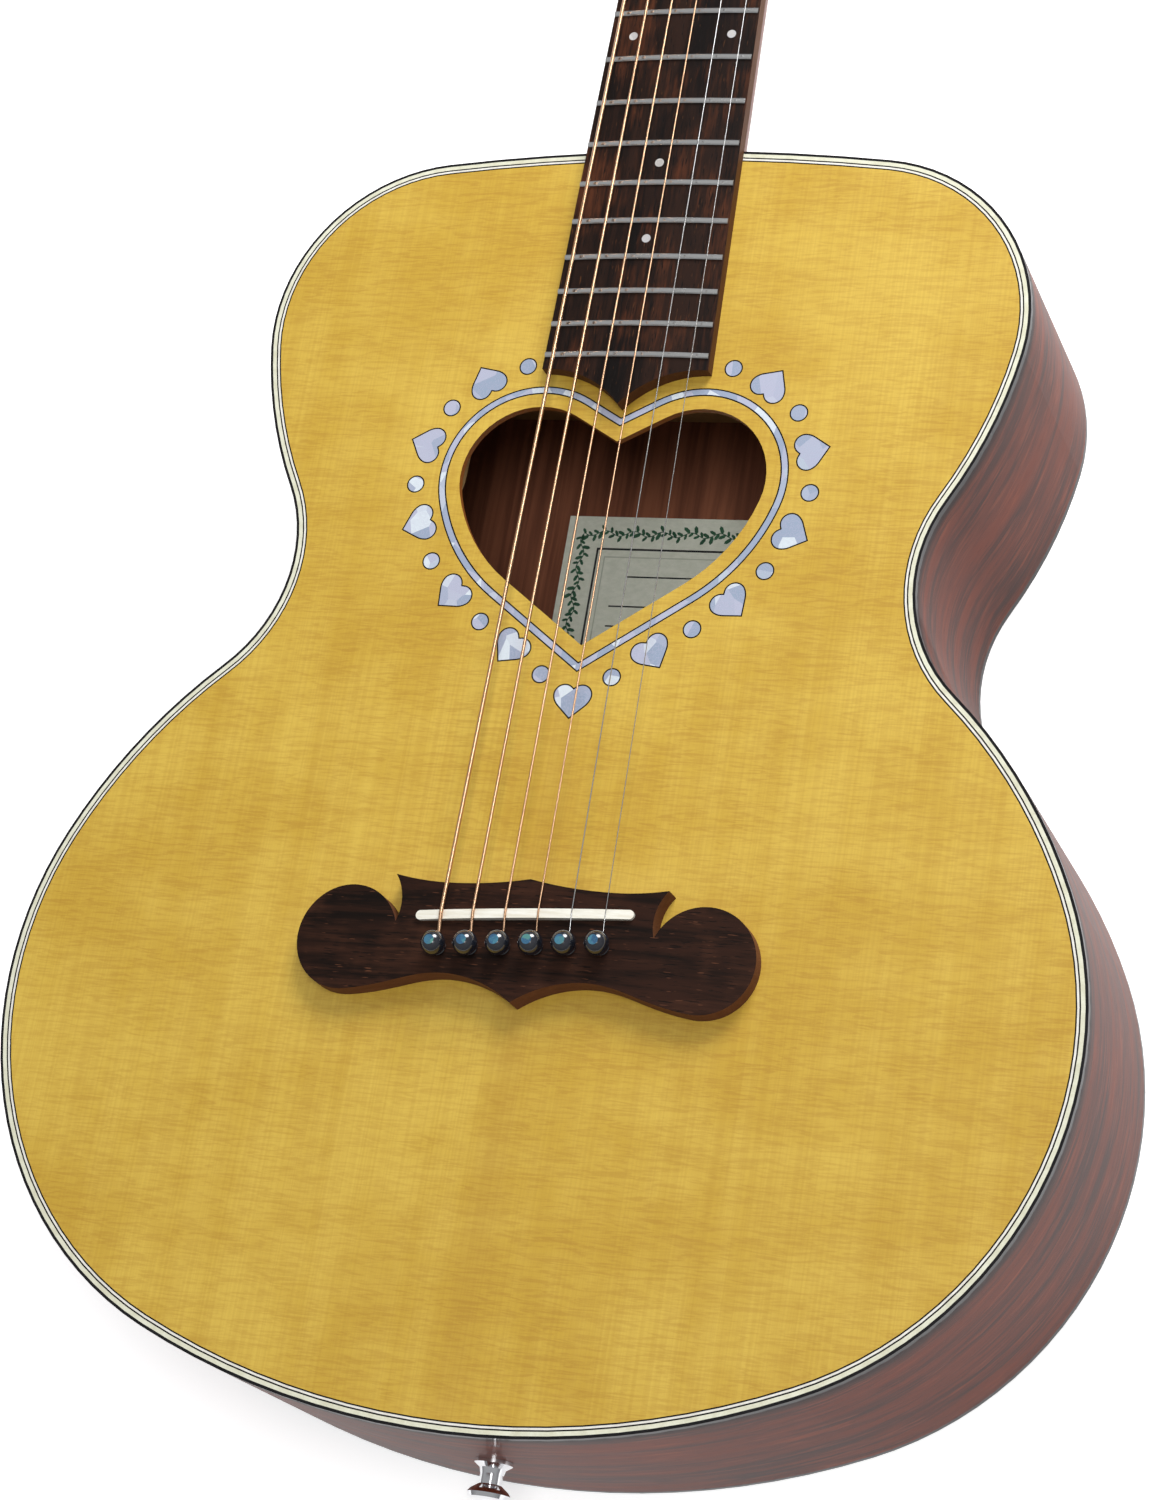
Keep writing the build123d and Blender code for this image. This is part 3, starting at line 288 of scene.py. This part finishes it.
# %% Spruce
def spruce(name, pale, deep, streak, end_grain, gloss):
    wood = Finish(name, coat_weight=gloss, coat_roughness=0.07, specular_ior_level=0.45)
    lines = wood.noise((1150, 9, 60), 2.0, 0.5)
    bands = wood.noise((95, 2.2, 20), 3.0, 0.6)
    silk = wood.noise((95, 860, 8), 3.5, 0.62, 0.9)
    patches = wood.noise((16, 26, 4), 3.0, 0.6)
    seam = 1 - wood.step(abs(wood.axis("X")), 0.0, 0.010)
    tone = wood.mix(wood.step(patches + bands * 0.5, 0.55, 1.0), pale, deep)
    cross = wood.step(silk, 0.40, 0.66) * (0.10 + patches * 0.95)
    tone = wood.mix(cross * 0.72, tone, streak)
    tone = wood.mix(wood.step(lines, 0.34, 0.66) * 0.20, tone, streak)
    tone = wood.mix(seam * 0.22, tone, streak)
    tone = wood.mix(wood.step(wood.upward(), 0.4, 0.7), end_grain, tone)
    wood.feed(base_color=tone, roughness=0.42 + silk * 0.2)
    return wood.bump(lines + silk * 0.5, 0.00003, 0.5).material


top_spruce = spruce("top_spruce", shade(208, 175, 70), shade(192, 155, 48),
                    shade(168, 124, 32), shade(140, 80, 28), 0.15)
brace_spruce = spruce("brace_spruce", shade(214, 184, 130), shade(196, 160, 104),
                      shade(170, 130, 80), shade(176, 140, 92), 0.0)
print(top_spruce.name, brace_spruce.name)

# %% [markdown]
# ## Mahogany
#
# The sides, back and neck are mahogany. It shows broad soft ribbons, and short dark pores
# that lie along the grain. The grain runs round the rim on the sides and along Y on the back
# and the neck, so the same recipe takes the numbers of features along each axis. A high gloss
# on the body and a satin neck differ only in the coat. The back's inner face was never
# lacquered: it is raw and paler, so a mask of upward faces takes the coat away there. A
# painted shadow lies on the sides just under the binding, made by a step of the height.

# %% Mahogany
# The band of painted shadow under the binding starts, and is full, at these depths.
SHADOW_STARTS, SHADOW_FULL = 0.0075, 0.001  # below the top edge of the sides


def mahogany(name, dark, mid, light, ribbon, pore, gloss, satin, shine=0.4,
             raw=None, painted_shadow_band=None):
    wood = Finish(name, coat_weight=gloss, coat_roughness=0.05, specular_ior_level=shine)
    ribbons = wood.noise(ribbon, 4.0, 0.62, 0.6)
    fibres = wood.noise(tuple(4 * count for count in ribbon), 3.0, 0.6, 0.2, (3, 1, 2))
    pores = wood.noise(pore, 2.0, 0.5, 0.0, (7, 5, 1))
    tone = wood.mix(wood.step(ribbons, 0.30, 0.66), dark, mid)
    tone = wood.mix(wood.step(fibres, 0.48, 0.80) * 0.65, tone, light)
    open_pores = wood.step(pores, 0.56, 0.70)
    tone = wood.mix(open_pores * 0.65, tone, dark)
    # Painted shadow: the sides go near black just under the binding, where the binding shades
    # them.
    if painted_shadow_band:
        painted_shadow = wood.step(wood.axis("Z"), *painted_shadow_band) * 0.85
        tone = wood.mix(painted_shadow, tone, shade(14, 10, 12))
    wood.feed(base_color=tone, roughness=satin + ribbons * 0.15)
    if raw:
        inner = wood.step(wood.upward(), 0.5, 0.9)
        bare = wood.mix(wood.step(fibres + ribbons * 0.5, 0.55, 0.95), raw, light)
        wood.feed(base_color=wood.mix(inner, tone, bare), coat_weight=(1 - inner) * gloss,
                  roughness=satin + ribbons * 0.15 + inner * 0.25)
    return wood.bump(fibres * 0.6 - open_pores, 0.00003, 0.35).material


rim_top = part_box("side_bass")[1].z
side_mahogany = mahogany("side_mahogany", shade(54, 22, 14), shade(104, 46, 28),
                         shade(138, 66, 40), (11, 11, 120), (150, 150, 3000), 0.08, 0.42,
                         shine=0.08, painted_shadow_band=(rim_top - SHADOW_STARTS, rim_top - SHADOW_FULL))
back_mahogany = mahogany("back_mahogany", shade(58, 28, 22), shade(104, 56, 42),
                         shade(146, 88, 60), (70, 2.6, 40), (2300, 110, 300), 0.9, 0.32,
                         raw=shade(108, 60, 38))
neck_mahogany = mahogany("neck_mahogany", shade(66, 34, 24), shade(112, 62, 44),
                         shade(136, 82, 58), (90, 4, 90), (2300, 110, 2300), 0.15, 0.40)
inner_mahogany = mahogany("inner_mahogany", shade(96, 56, 40), shade(146, 92, 66),
                          shade(166, 110, 80), (60, 6, 60), (1800, 110, 1800), 0.0, 0.6)
print(side_mahogany.name, back_mahogany.name, neck_mahogany.name, inner_mahogany.name)

# %% [markdown]
# ## Rosewood
#
# The fingerboard, the bridge and the head's face are rosewood, left bare and oiled: nearly
# black in places, chocolate in others, with open pores as short dark scratches and a few
# pale flecks. The board's grain runs along the neck and the bridge's runs across it. The
# walls, the faces that don't point up, get painted light: a paler brown.

# %% Rosewood
def rosewood(name, black, brown, red, fleck_and_lit_wall_tone, streak, pore):
    wood = Finish(name, specular_ior_level=0.09)
    bands = wood.noise(streak, 4.0, 0.62, 0.9)
    fine = wood.noise(tuple(5 * count for count in streak), 3.0, 0.62, 0.3, (2, 4, 6))
    pores = wood.noise(pore, 2.0, 0.55, 0.2, (9, 1, 5))
    patches = wood.noise((45, 28, 30), 3.0, 0.6)
    tone = wood.mix(wood.step(bands, 0.34, 0.64), black, brown)
    tone = wood.mix(wood.step(patches + fine * 0.7, 0.80, 1.15) * 0.8, tone, red)
    open_pores = wood.step(pores, 0.58, 0.68)
    tone = wood.mix(open_pores * 0.85, tone, black)
    flecks = wood.step(wood.noise(tuple(1.3 * count for count in pore), 1.0, 0.5), 0.70, 0.76)
    tone = wood.mix(flecks * 0.5, tone, fleck_and_lit_wall_tone)
    # Painted light: faces that don't point up take a paler brown, as a lit wall. The same tone
    # also colours the real pale flecks.
    painted_lit_wall = wood.mix(fine * 0.5, fleck_and_lit_wall_tone, brown)
    tone = wood.mix(wood.step(wood.upward(), 0.35, 0.75), painted_lit_wall, tone)
    wood.feed(base_color=tone, roughness=0.46 + fine * 0.22)
    return wood.bump(fine * 0.5 - open_pores, 0.00006, 0.6).material


board_rosewood = rosewood("board_rosewood", shade(16, 12, 11), shade(40, 25, 19),
                          shade(84, 46, 28), shade(96, 60, 34), (110, 9, 60), (1500, 150, 900))
bridge_rosewood = rosewood("bridge_rosewood", shade(18, 11, 8), shade(46, 26, 18),
                           shade(64, 38, 26), shade(118, 74, 52), (8, 130, 80), (140, 1500, 900))
head_rosewood = rosewood("head_rosewood", shade(24, 17, 17), shade(54, 33, 27), shade(72, 44, 32),
                         shade(64, 40, 28), (110, 7, 30), (1500, 150, 900))
print(board_rosewood.name, bridge_rosewood.name, head_rosewood.name)

# %% [markdown]
# ## Shell
#
# Pearl shell is cut from curved pieces, so an inlay shows two or three flat facets that each
# catch the light in their own way: pale lavender, blue-grey, nearly white. Voronoi cells a
# few millimetres across give the facets, and a fine wave inside each gives the lustre.

# %% Shell
def pearl(name, tones, per_metre, lustre):
    shell = Finish(name, coat_weight=1.0, coat_roughness=0.04, metallic=lustre)
    cells = shell.cells(per_metre)
    facet, pick = shell.axis("X", cells), shell.axis("Y", cells)
    waves = (shell.noise((420, 420, 420), 2.0, 0.5, 1.5, (1, 2, 3)) * 26).sine() * 0.5 + 0.5
    tone = shell.mix(shell.step(facet, 0.15, 0.75), tones[0], tones[1])
    tone = shell.mix(shell.step(pick, 0.55, 0.95), tone, tones[2])
    tone = shell.mix(waves * 0.22, tone, tones[3])
    shell.feed(base_color=tone, roughness=0.16 + waves * 0.14)
    return shell.bump(waves, 0.00001, 0.25).material


inlay_shell = pearl("inlay_shell", (shade(148, 162, 184), shade(178, 182, 202),
                                    shade(216, 226, 232), shade(170, 164, 186)),
                    (150, 120, 0), 0.05)
marker_shell = pearl("marker_shell", (shade(176, 172, 168), shade(206, 202, 198),
                                      shade(190, 188, 190), shade(160, 156, 156)),
                     (400, 400, 0), 0.05)
blue_shell = pearl("blue_shell", (shade(44, 92, 128), shade(66, 128, 150), shade(88, 150, 140),
                                  shade(32, 66, 98)), (420, 420, 0), 0.15)
print(inlay_shell.name, marker_shell.name, blue_shell.name)

# %% [markdown]
# ## Plastic, bone and paper
#
# Binding and pins are celluloid: an even colour that scraping and buffing leave slightly
# cloudy, so the colour and the roughness both drift a little. Bone has faint pores and
# warmer ends. Paper has fibres.

# %% Plastic, bone and paper
def smooth_stuff(name, tone, other, roughness, coat, per_metre=(220, 220, 220), grit=0.00001,
                 shine=0.5):
    """An even material whose colour and roughness drift between two close tones."""
    stuff = Finish(name, coat_weight=coat, coat_roughness=0.06, specular_ior_level=shine)
    cloud = stuff.noise(per_metre, 4.0, 0.6)
    grain = stuff.noise(tuple(9 * count for count in per_metre), 2.0, 0.6, 0.0, (5, 5, 5))
    stuff.feed(base_color=stuff.mix(stuff.step(cloud + grain * 0.4, 0.45, 0.95), tone, other),
               roughness=roughness + grain * 0.14)
    return stuff.bump(grain, grit, 0.4).material


black_binding = smooth_stuff("black_binding", shade(14, 13, 14), shade(28, 27, 29), 0.30, 0.15,
                             shine=0.15)
black_line = smooth_stuff("black_line", shade(12, 10, 11), shade(24, 21, 22), 0.55, 0.0,
                          shine=0.1)
cream_line = smooth_stuff("cream_line", shade(226, 226, 206), shade(206, 204, 178), 0.25, 0.6)
white_line = smooth_stuff("white_line", shade(236, 234, 226), shade(214, 210, 200), 0.25, 0.6)
pin_plastic = smooth_stuff("pin_plastic", shade(16, 18, 24), shade(30, 33, 42), 0.10, 1.0)
bone = smooth_stuff("bone", shade(240, 238, 228), shade(222, 216, 198), 0.30, 0.35,
                    (60, 900, 120))
maple = smooth_stuff("maple", shade(206, 172, 124), shade(180, 142, 96), 0.55, 0.0, (20, 500, 60))
label_paper = smooth_stuff("label_paper", shade(232, 234, 218), shade(216, 220, 202), 0.8, 0.0,
                           (300, 500, 300), 0.00002)
leaf_ink = smooth_stuff("leaf_ink", shade(56, 104, 74), shade(34, 74, 52), 0.7, 0.0)
frame_ink = smooth_stuff("frame_ink", shade(24, 26, 26), shade(44, 46, 46), 0.7, 0.0)
pale_ink = smooth_stuff("pale_ink", shade(196, 200, 184), shade(184, 188, 170), 0.7, 0.0)
print("plastics, bone and papers made")

# %% [markdown]
# ## Metal
#
# Chrome mirrors its surroundings and only carries a few finger marks. Fret wire is softer
# and brushed along its length by the levelling file. A wound string is a steel core with
# bronze wire wrapped round it: the wrap's pitch is under half a millimetre, so it is drawn
# as a wave along the string that drives the bump and paints shade into the grooves.

# %% Metal
WRAP_PITCH = 0.00042


def metal(name, tone, dull, roughness, scratches, depth=0.000004):
    plate = Finish(name, metallic=1.0)
    smears = plate.noise((60, 60, 60), 4.0, 0.6)
    lines = plate.noise(scratches, 2.0, 0.6, 0.0, (4, 4, 4))
    marks = plate.step(smears, 0.5, 0.75)
    plate.feed(base_color=plate.mix(marks * 0.5, tone, dull),
               roughness=roughness + marks * 0.10 + lines * 0.08)
    return plate.bump(lines, depth, 0.4).material


def wound_wire(name, tone, tarnish_and_valley_shade, pitch):
    wire = Finish(name, metallic=1.0)
    wrap = (wire.axis("Y") * (2 * math.pi / pitch)).sine() * 0.5 + 0.5
    tarnish = wire.noise((200, 14, 200), 3.0, 0.6)
    colour = wire.mix(wire.step(tarnish, 0.45, 0.75) * 0.4, tone, tarnish_and_valley_shade)
    # Painted shade: the grooves between the turns of wire are darkened. The same dark tone also
    # serves for the real tarnish.
    wire.feed(base_color=wire.mix((1 - wrap) * 0.55, colour, tarnish_and_valley_shade),
              roughness=0.24 + wrap * 0.1)
    return wire.bump(wrap, pitch * 0.12, 0.6).material


chrome = metal("chrome", shade(228, 228, 230), shade(196, 198, 202), 0.06, (300, 300, 300))
fret_metal = metal("fret_metal", shade(222, 222, 220), shade(186, 186, 182), 0.17, (40, 3000, 600))
plain_steel = metal("plain_steel", shade(196, 196, 196), shade(150, 148, 146), 0.2, (800, 30, 800))
bolt_steel = metal("bolt_steel", shade(150, 150, 152), shade(110, 108, 106), 0.35, (500, 500, 500))
brass = metal("brass", shade(206, 170, 96), shade(160, 124, 66), 0.3, (500, 500, 500))
wound_bronze = wound_wire("wound_bronze", shade(238, 196, 158), shade(140, 88, 60), WRAP_PITCH)
print("metals made")

# %% [markdown]
# ## Which finish goes where
#
# A node keeps its mesh, and its object gets the finish. Every part of the guitar is in this
# table, so a piece left plain would show up as a missing name.

# %% Finishes for the nodes
FINISHES = {
    top_spruce: ["soundboard"],
    brace_spruce: ["x_braces", "transverse_brace", "tone_bars", "back_braces"],
    side_mahogany: ["side_bass", "side_treble"],
    back_mahogany: ["back_plate"],
    neck_mahogany: ["neck"],
    inner_mahogany: ["neck_block", "tail_block", "top_linings", "back_linings"],
    maple: ["bridge_plate"],
    board_rosewood: ["fingerboard"],
    bridge_rosewood: ["bridge"],
    head_rosewood: ["head_plate"],
    inlay_shell: ["shell_inlays", "rosette_ring"],
    marker_shell: ["fret_markers"],
    blue_shell: ["pin_dots"],
    black_binding: ["binding", "heel_cap"],
    black_line: ["purfling_black", "inlay_lines"],
    cream_line: ["purfling_cream"],
    white_line: ["purfling_white"],
    pin_plastic: ["bridge_pins"],
    bone: ["nut", "saddle"],
    label_paper: ["label"],
    fret_metal: ["frets"],
    bolt_steel: ["neck_bolts", "truss_rod"],
    brass: ["truss_rod_nut"],
    wound_bronze: ["wound_strings"] + [f"string_coil_{number}" for number in (1, 2, 3, 4)],
    plain_steel: ["plain_strings", "string_coil_5", "string_coil_6"],
    chrome: ["strap_button", "tuner_cases", "tuner_covers", "tuner_bushings", "tuner_screws"]
            + [f"tuner_{part}_{number}" for part in ("post", "knob") for number in range(1, 7)],
}
for finish, names in FINISHES.items():
    for name in names:
        for entry in nodes[name].material_slots:
            entry.link = "OBJECT"
            entry.material = finish
unfinished = sorted(set(nodes) - {name for names in FINISHES.values() for name in names})
print("nodes without a finish:", unfinished)

# %% [markdown]
# ## Rounded edges
#
# No real edge is perfectly sharp: sandpaper and buffing leave a small round that catches a
# line of light. A node's mesh is loose triangles, so a copy is merged, its flat areas are
# made whole again, and a Bevel modifier rounds the edges that turn sharply. The copy stands
# for the node.

# %% Rounded copies
MERGE = 1e-6
FLAT_WITHIN = math.radians(0.4)
SHARP_FROM = math.radians(35)
ROUND_SEGMENTS = 2


def merged_copy(name):
    mesh = nodes[name].data.copy()
    shape = bmesh.new()
    shape.from_mesh(mesh)
    bmesh.ops.remove_doubles(shape, verts=shape.verts, dist=MERGE)
    bmesh.ops.dissolve_limit(shape, angle_limit=FLAT_WITHIN, verts=shape.verts,
                             edges=shape.edges)
    shape.to_mesh(mesh)
    shape.free()
    if "custom_normal" in mesh.attributes:
        mesh.attributes.remove(mesh.attributes["custom_normal"])
    return mesh


def rounded(name, piece_name, width, finish):
    mesh = merged_copy(name)
    mesh.name = piece_name
    mesh.materials.clear()
    mesh.materials.append(finish)
    mesh.shade_smooth()
    piece = bpy.data.objects.new(piece_name, mesh)
    bpy.context.collection.objects.link(piece)
    bevel = piece.modifiers.new("edge_round", "BEVEL")
    bevel.width, bevel.segments, bevel.limit_method = width, ROUND_SEGMENTS, "ANGLE"
    bevel.angle_limit, bevel.harden_normals = SHARP_FROM, True
    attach(piece, "guitar")
    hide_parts(name)
    print(piece_name, len(mesh.polygons), "faces before its edges are rounded")


rounded("bridge", "bridge_body", 0.0007, bridge_rosewood)
rounded("fingerboard", "fingerboard_body", 0.0004, board_rosewood)
rounded("saddle", "saddle_bone", 0.0004, bone)
rounded("nut", "nut_bone", 0.0003, bone)
rounded("tuner_cases", "tuner_housings", 0.0003, chrome)
rounded("tuner_covers", "tuner_lids", 0.0004, chrome)

# %% [markdown]
# ## The label's print
#
# The paper label lies inside, on the back, and its corner shows through the sound hole. A
# vine runs round its edge, inside that a double frame line, and four plain rules stand for
# the writing. The vine is the piece that repeats, so Geometry Nodes make it: points along a
# path, and a leaf on each that leans to one side and then the other. Ink has a thickness
# here of a few hundredths of a millimetre, so that it lies on the paper as a closed shape.

# %% Label sizes
label_low, label_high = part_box("label")
PAPER_Z = label_high.z
INK = 0.00005
VINE_IN = 0.0068
FRAME_IN, FRAME_W = 0.0128, 0.0008
INNER_IN, INNER_W = 0.0162, 0.0005
RULES = ((0.024, 0.052), (0.036, 0.062), (0.044, 0.062), (0.056, 0.040))  # down, length
RULE_W = 0.0006
STEM_W = 0.00035
WAVE, SWING, POINTS_PER_WAVE = 0.011, 0.0011, 10
print("paper", round(label_high.x - label_low.x, 4), "by", round(label_high.y - label_low.y, 4))


def inked_boxes(name, boxes, ink):
    """Thin closed boxes on the paper from (low x, high x, low y, high y)."""
    shape = bmesh.new()
    for x0, x1, y0, y1 in boxes:
        made = bmesh.ops.create_cube(shape, size=1.0)["verts"]
        middle = Vector(((x0 + x1) / 2, (y0 + y1) / 2, PAPER_Z + INK / 2))
        for vertex in made:
            vertex.co = Vector((vertex.co.x * (x1 - x0), vertex.co.y * (y1 - y0),
                                vertex.co.z * INK)) + middle
    mesh = bpy.data.meshes.new(name)
    shape.to_mesh(mesh)
    shape.free()
    mesh.materials.append(ink)
    piece = bpy.data.objects.new(name, mesh)
    bpy.context.collection.objects.link(piece)
    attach(piece, "guitar")


def frame_boxes(inset, width):
    x0, x1 = label_low.x + inset, label_high.x - inset
    y0, y1 = label_low.y + inset, label_high.y - inset
    return [(x0, x1, y0, y0 + width), (x0, x1, y1 - width, y1),
            (x0, x0 + width, y0 + width, y1 - width), (x1 - width, x1, y0 + width, y1 - width)]


# %% [markdown]
# The frame and the rules are straight strokes, so each is one thin box. Text could be set with
# a Text object instead, but the writing on a label belongs to its maker, and rules of the same
# length keep the page's look.

# %% Frame lines and rules
middle_x = (label_low.x + label_high.x) / 2
rule_boxes = [(middle_x - length / 2, middle_x + length / 2,
               label_high.y - down - RULE_W, label_high.y - down) for down, length in RULES]
inked_boxes("label_frame", frame_boxes(FRAME_IN, FRAME_W) + rule_boxes, frame_ink)
inked_boxes("label_inner_line", frame_boxes(INNER_IN, INNER_W), pale_ink)
print("label lines", len(rule_boxes), "rules")

# %% [markdown]
# The tree below is built in code. Its inputs have names, so the spacing or the leaf's length
# can be read without opening the node editor. Random sizes come from a fixed seed. It ends in
# Realize Instances and Set Material, and the result is turned into a plain mesh.

# %% Vine tree
class Tree:
    """A Geometry Nodes tree built from named inputs."""

    def __init__(self, name, inputs):
        self.group = bpy.data.node_groups.new(name, "GeometryNodeTree")
        face = self.group.interface
        face.new_socket("Geometry", in_out="INPUT", socket_type="NodeSocketGeometry")
        for label, value in inputs.items():
            kind = "NodeSocketInt" if isinstance(value, int) else "NodeSocketFloat"
            socket = face.new_socket(label, in_out="INPUT", socket_type=kind)
            socket.default_value = value
        face.new_socket("Geometry", in_out="OUTPUT", socket_type="NodeSocketGeometry")
        self.entry = self.group.nodes.new("NodeGroupInput")
        self.exit = self.group.nodes.new("NodeGroupOutput")

    def given(self, label):
        return self.entry.outputs[label]

    def add(self, kind, settings=(), values=(), output=0):
        made = self.group.nodes.new(kind)
        for name, value in dict(settings).items():
            setattr(made, name, value)
        for name, value in dict(values).items():
            if isinstance(value, bpy.types.NodeSocket):
                self.group.links.new(value, made.inputs[name])
            else:
                made.inputs[name].default_value = value
        return made.outputs[output]

    def maths(self, operation, first, second):
        return self.add("ShaderNodeMath", {"operation": operation}, {0: first, 1: second})

    def end(self, shapes, material):
        joined = self.group.nodes.new("GeometryNodeJoinGeometry")
        for shape in shapes:
            self.group.links.new(shape, joined.inputs[0])
        real = self.add("GeometryNodeRealizeInstances", (), {"Geometry": joined.outputs[0]})
        painted = self.add("GeometryNodeSetMaterial", (),
                           {"Geometry": real, "Material": material})
        self.group.links.new(painted, self.exit.inputs[0])


def vine_tree(ink):
    tree = Tree("vine_border", {"Spacing": 0.0014, "Leaf Length": 0.0032, "Leaf Width": 0.46,
                                "Lean": 0.90, "Ink": INK, "Seed": 4})
    path = tree.add("GeometryNodeMeshToCurve", (), {"Mesh": tree.given("Geometry")})
    dotted = tree.add("GeometryNodeResampleCurve", {"mode": "LENGTH"},
                      {"Curve": path, "Length": tree.given("Spacing")})
    leaf = tree.add("GeometryNodeMeshCylinder", (),
                    {"Vertices": 6, "Radius": 0.5, "Depth": 1.0})
    outwards = tree.add("GeometryNodeTransform", (),
                        {"Geometry": leaf, "Translation": (0.5, 0, 0)})
    index = tree.add("GeometryNodeInputIndex")
    odd = tree.maths("MODULO", index, 2.0)
    side = tree.maths("SUBTRACT", tree.maths("MULTIPLY", odd, 2.0), 1.0)
    lean = tree.maths("MULTIPLY", side, tree.given("Lean"))
    turn = tree.add("ShaderNodeCombineXYZ", (), {"Z": lean})
    along = tree.add("FunctionNodeAlignRotationToVector", {"axis": "X"},
                     {"Vector": tree.add("GeometryNodeInputTangent")})
    turned = tree.add("FunctionNodeRotateRotation", {"rotation_space": "LOCAL"},
                      {"Rotation": along, "Rotate By": turn})
    size = tree.add("FunctionNodeRandomValue", {"data_type": "FLOAT"},
                    {2: 0.75, 3: 1.15, "Seed": tree.given("Seed")}, output=1)
    length = tree.maths("MULTIPLY", size, tree.given("Leaf Length"))
    width = tree.maths("MULTIPLY", length, tree.given("Leaf Width"))
    scale = tree.add("ShaderNodeCombineXYZ", (),
                     {"X": length, "Y": width, "Z": tree.given("Ink")})
    leaves = tree.add("GeometryNodeInstanceOnPoints", (), {
        "Points": dotted, "Instance": outwards, "Rotation": turned, "Scale": scale})
    stem_cut = tree.add("GeometryNodeCurvePrimitiveQuadrilateral", (), {
        0: STEM_W, 1: tree.given("Ink")})
    stem = tree.add("GeometryNodeCurveToMesh", (), {"Curve": path, "Profile Curve": stem_cut})
    tree.end([leaves, stem], ink)
    return tree


vine_growth = vine_tree(leaf_ink)
print("tree", vine_growth.group.name, "with", len(vine_growth.group.nodes), "nodes")

# %% [markdown]
# The vine's stem is a sine wave that goes round the label. Ten points for each wave are plenty
# for a stem that is a third of a millimetre wide. An artist might draw the curve by hand; a
# formula keeps it even at the corners and follows the label when its size changes.

# %% Vine
def vine_path():
    """A closed wavy line round the label's edge, as loose mesh edges."""
    x0, x1 = label_low.x + VINE_IN, label_high.x - VINE_IN
    y0, y1 = label_low.y + VINE_IN, label_high.y - VINE_IN
    corners = [Vector((x0, y0, 0)), Vector((x1, y0, 0)), Vector((x1, y1, 0)), Vector((x0, y1, 0))]
    points = []
    for start, end in zip(corners, corners[1:] + corners[:1]):
        run = end - start
        outwards = Vector((run.y, -run.x, 0)).normalized()
        waves = round(run.length / WAVE)
        steps = waves * POINTS_PER_WAVE
        for step in range(steps):
            share = step / steps
            sway = SWING * math.sin(2 * math.pi * waves * share)
            points.append(start + run * share + outwards * sway)
    mesh = bpy.data.meshes.new("vine_path")
    lifted = [(p.x, p.y, PAPER_Z + INK / 2) for p in points]
    mesh.from_pydata(lifted, [(i, (i + 1) % len(lifted)) for i in range(len(lifted))], [])
    return mesh


def grown(name, mesh, tree):
    """Runs a tree on a mesh and returns the result as a plain object."""
    seed = bpy.data.objects.new(name + "_seed", mesh)
    bpy.context.collection.objects.link(seed)
    growth = seed.modifiers.new("growth", "NODES")
    growth.node_group = tree.group
    ready = seed.evaluated_get(bpy.context.evaluated_depsgraph_get())
    plain = bpy.data.meshes.new_from_object(ready)
    plain.name = name
    bpy.data.objects.remove(seed)
    piece = bpy.data.objects.new(name, plain)
    bpy.context.collection.objects.link(piece)
    print(name, len(plain.polygons), "faces")
    return piece


vine = grown("label_vine", vine_path(), vine_growth)
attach(vine, "guitar")

# %% [markdown]
# ## The end
#
# The scene is brought up to date at the end. The looks must stay inside the imported
# model's box.

# %% The end
bpy.context.view_layer.update()
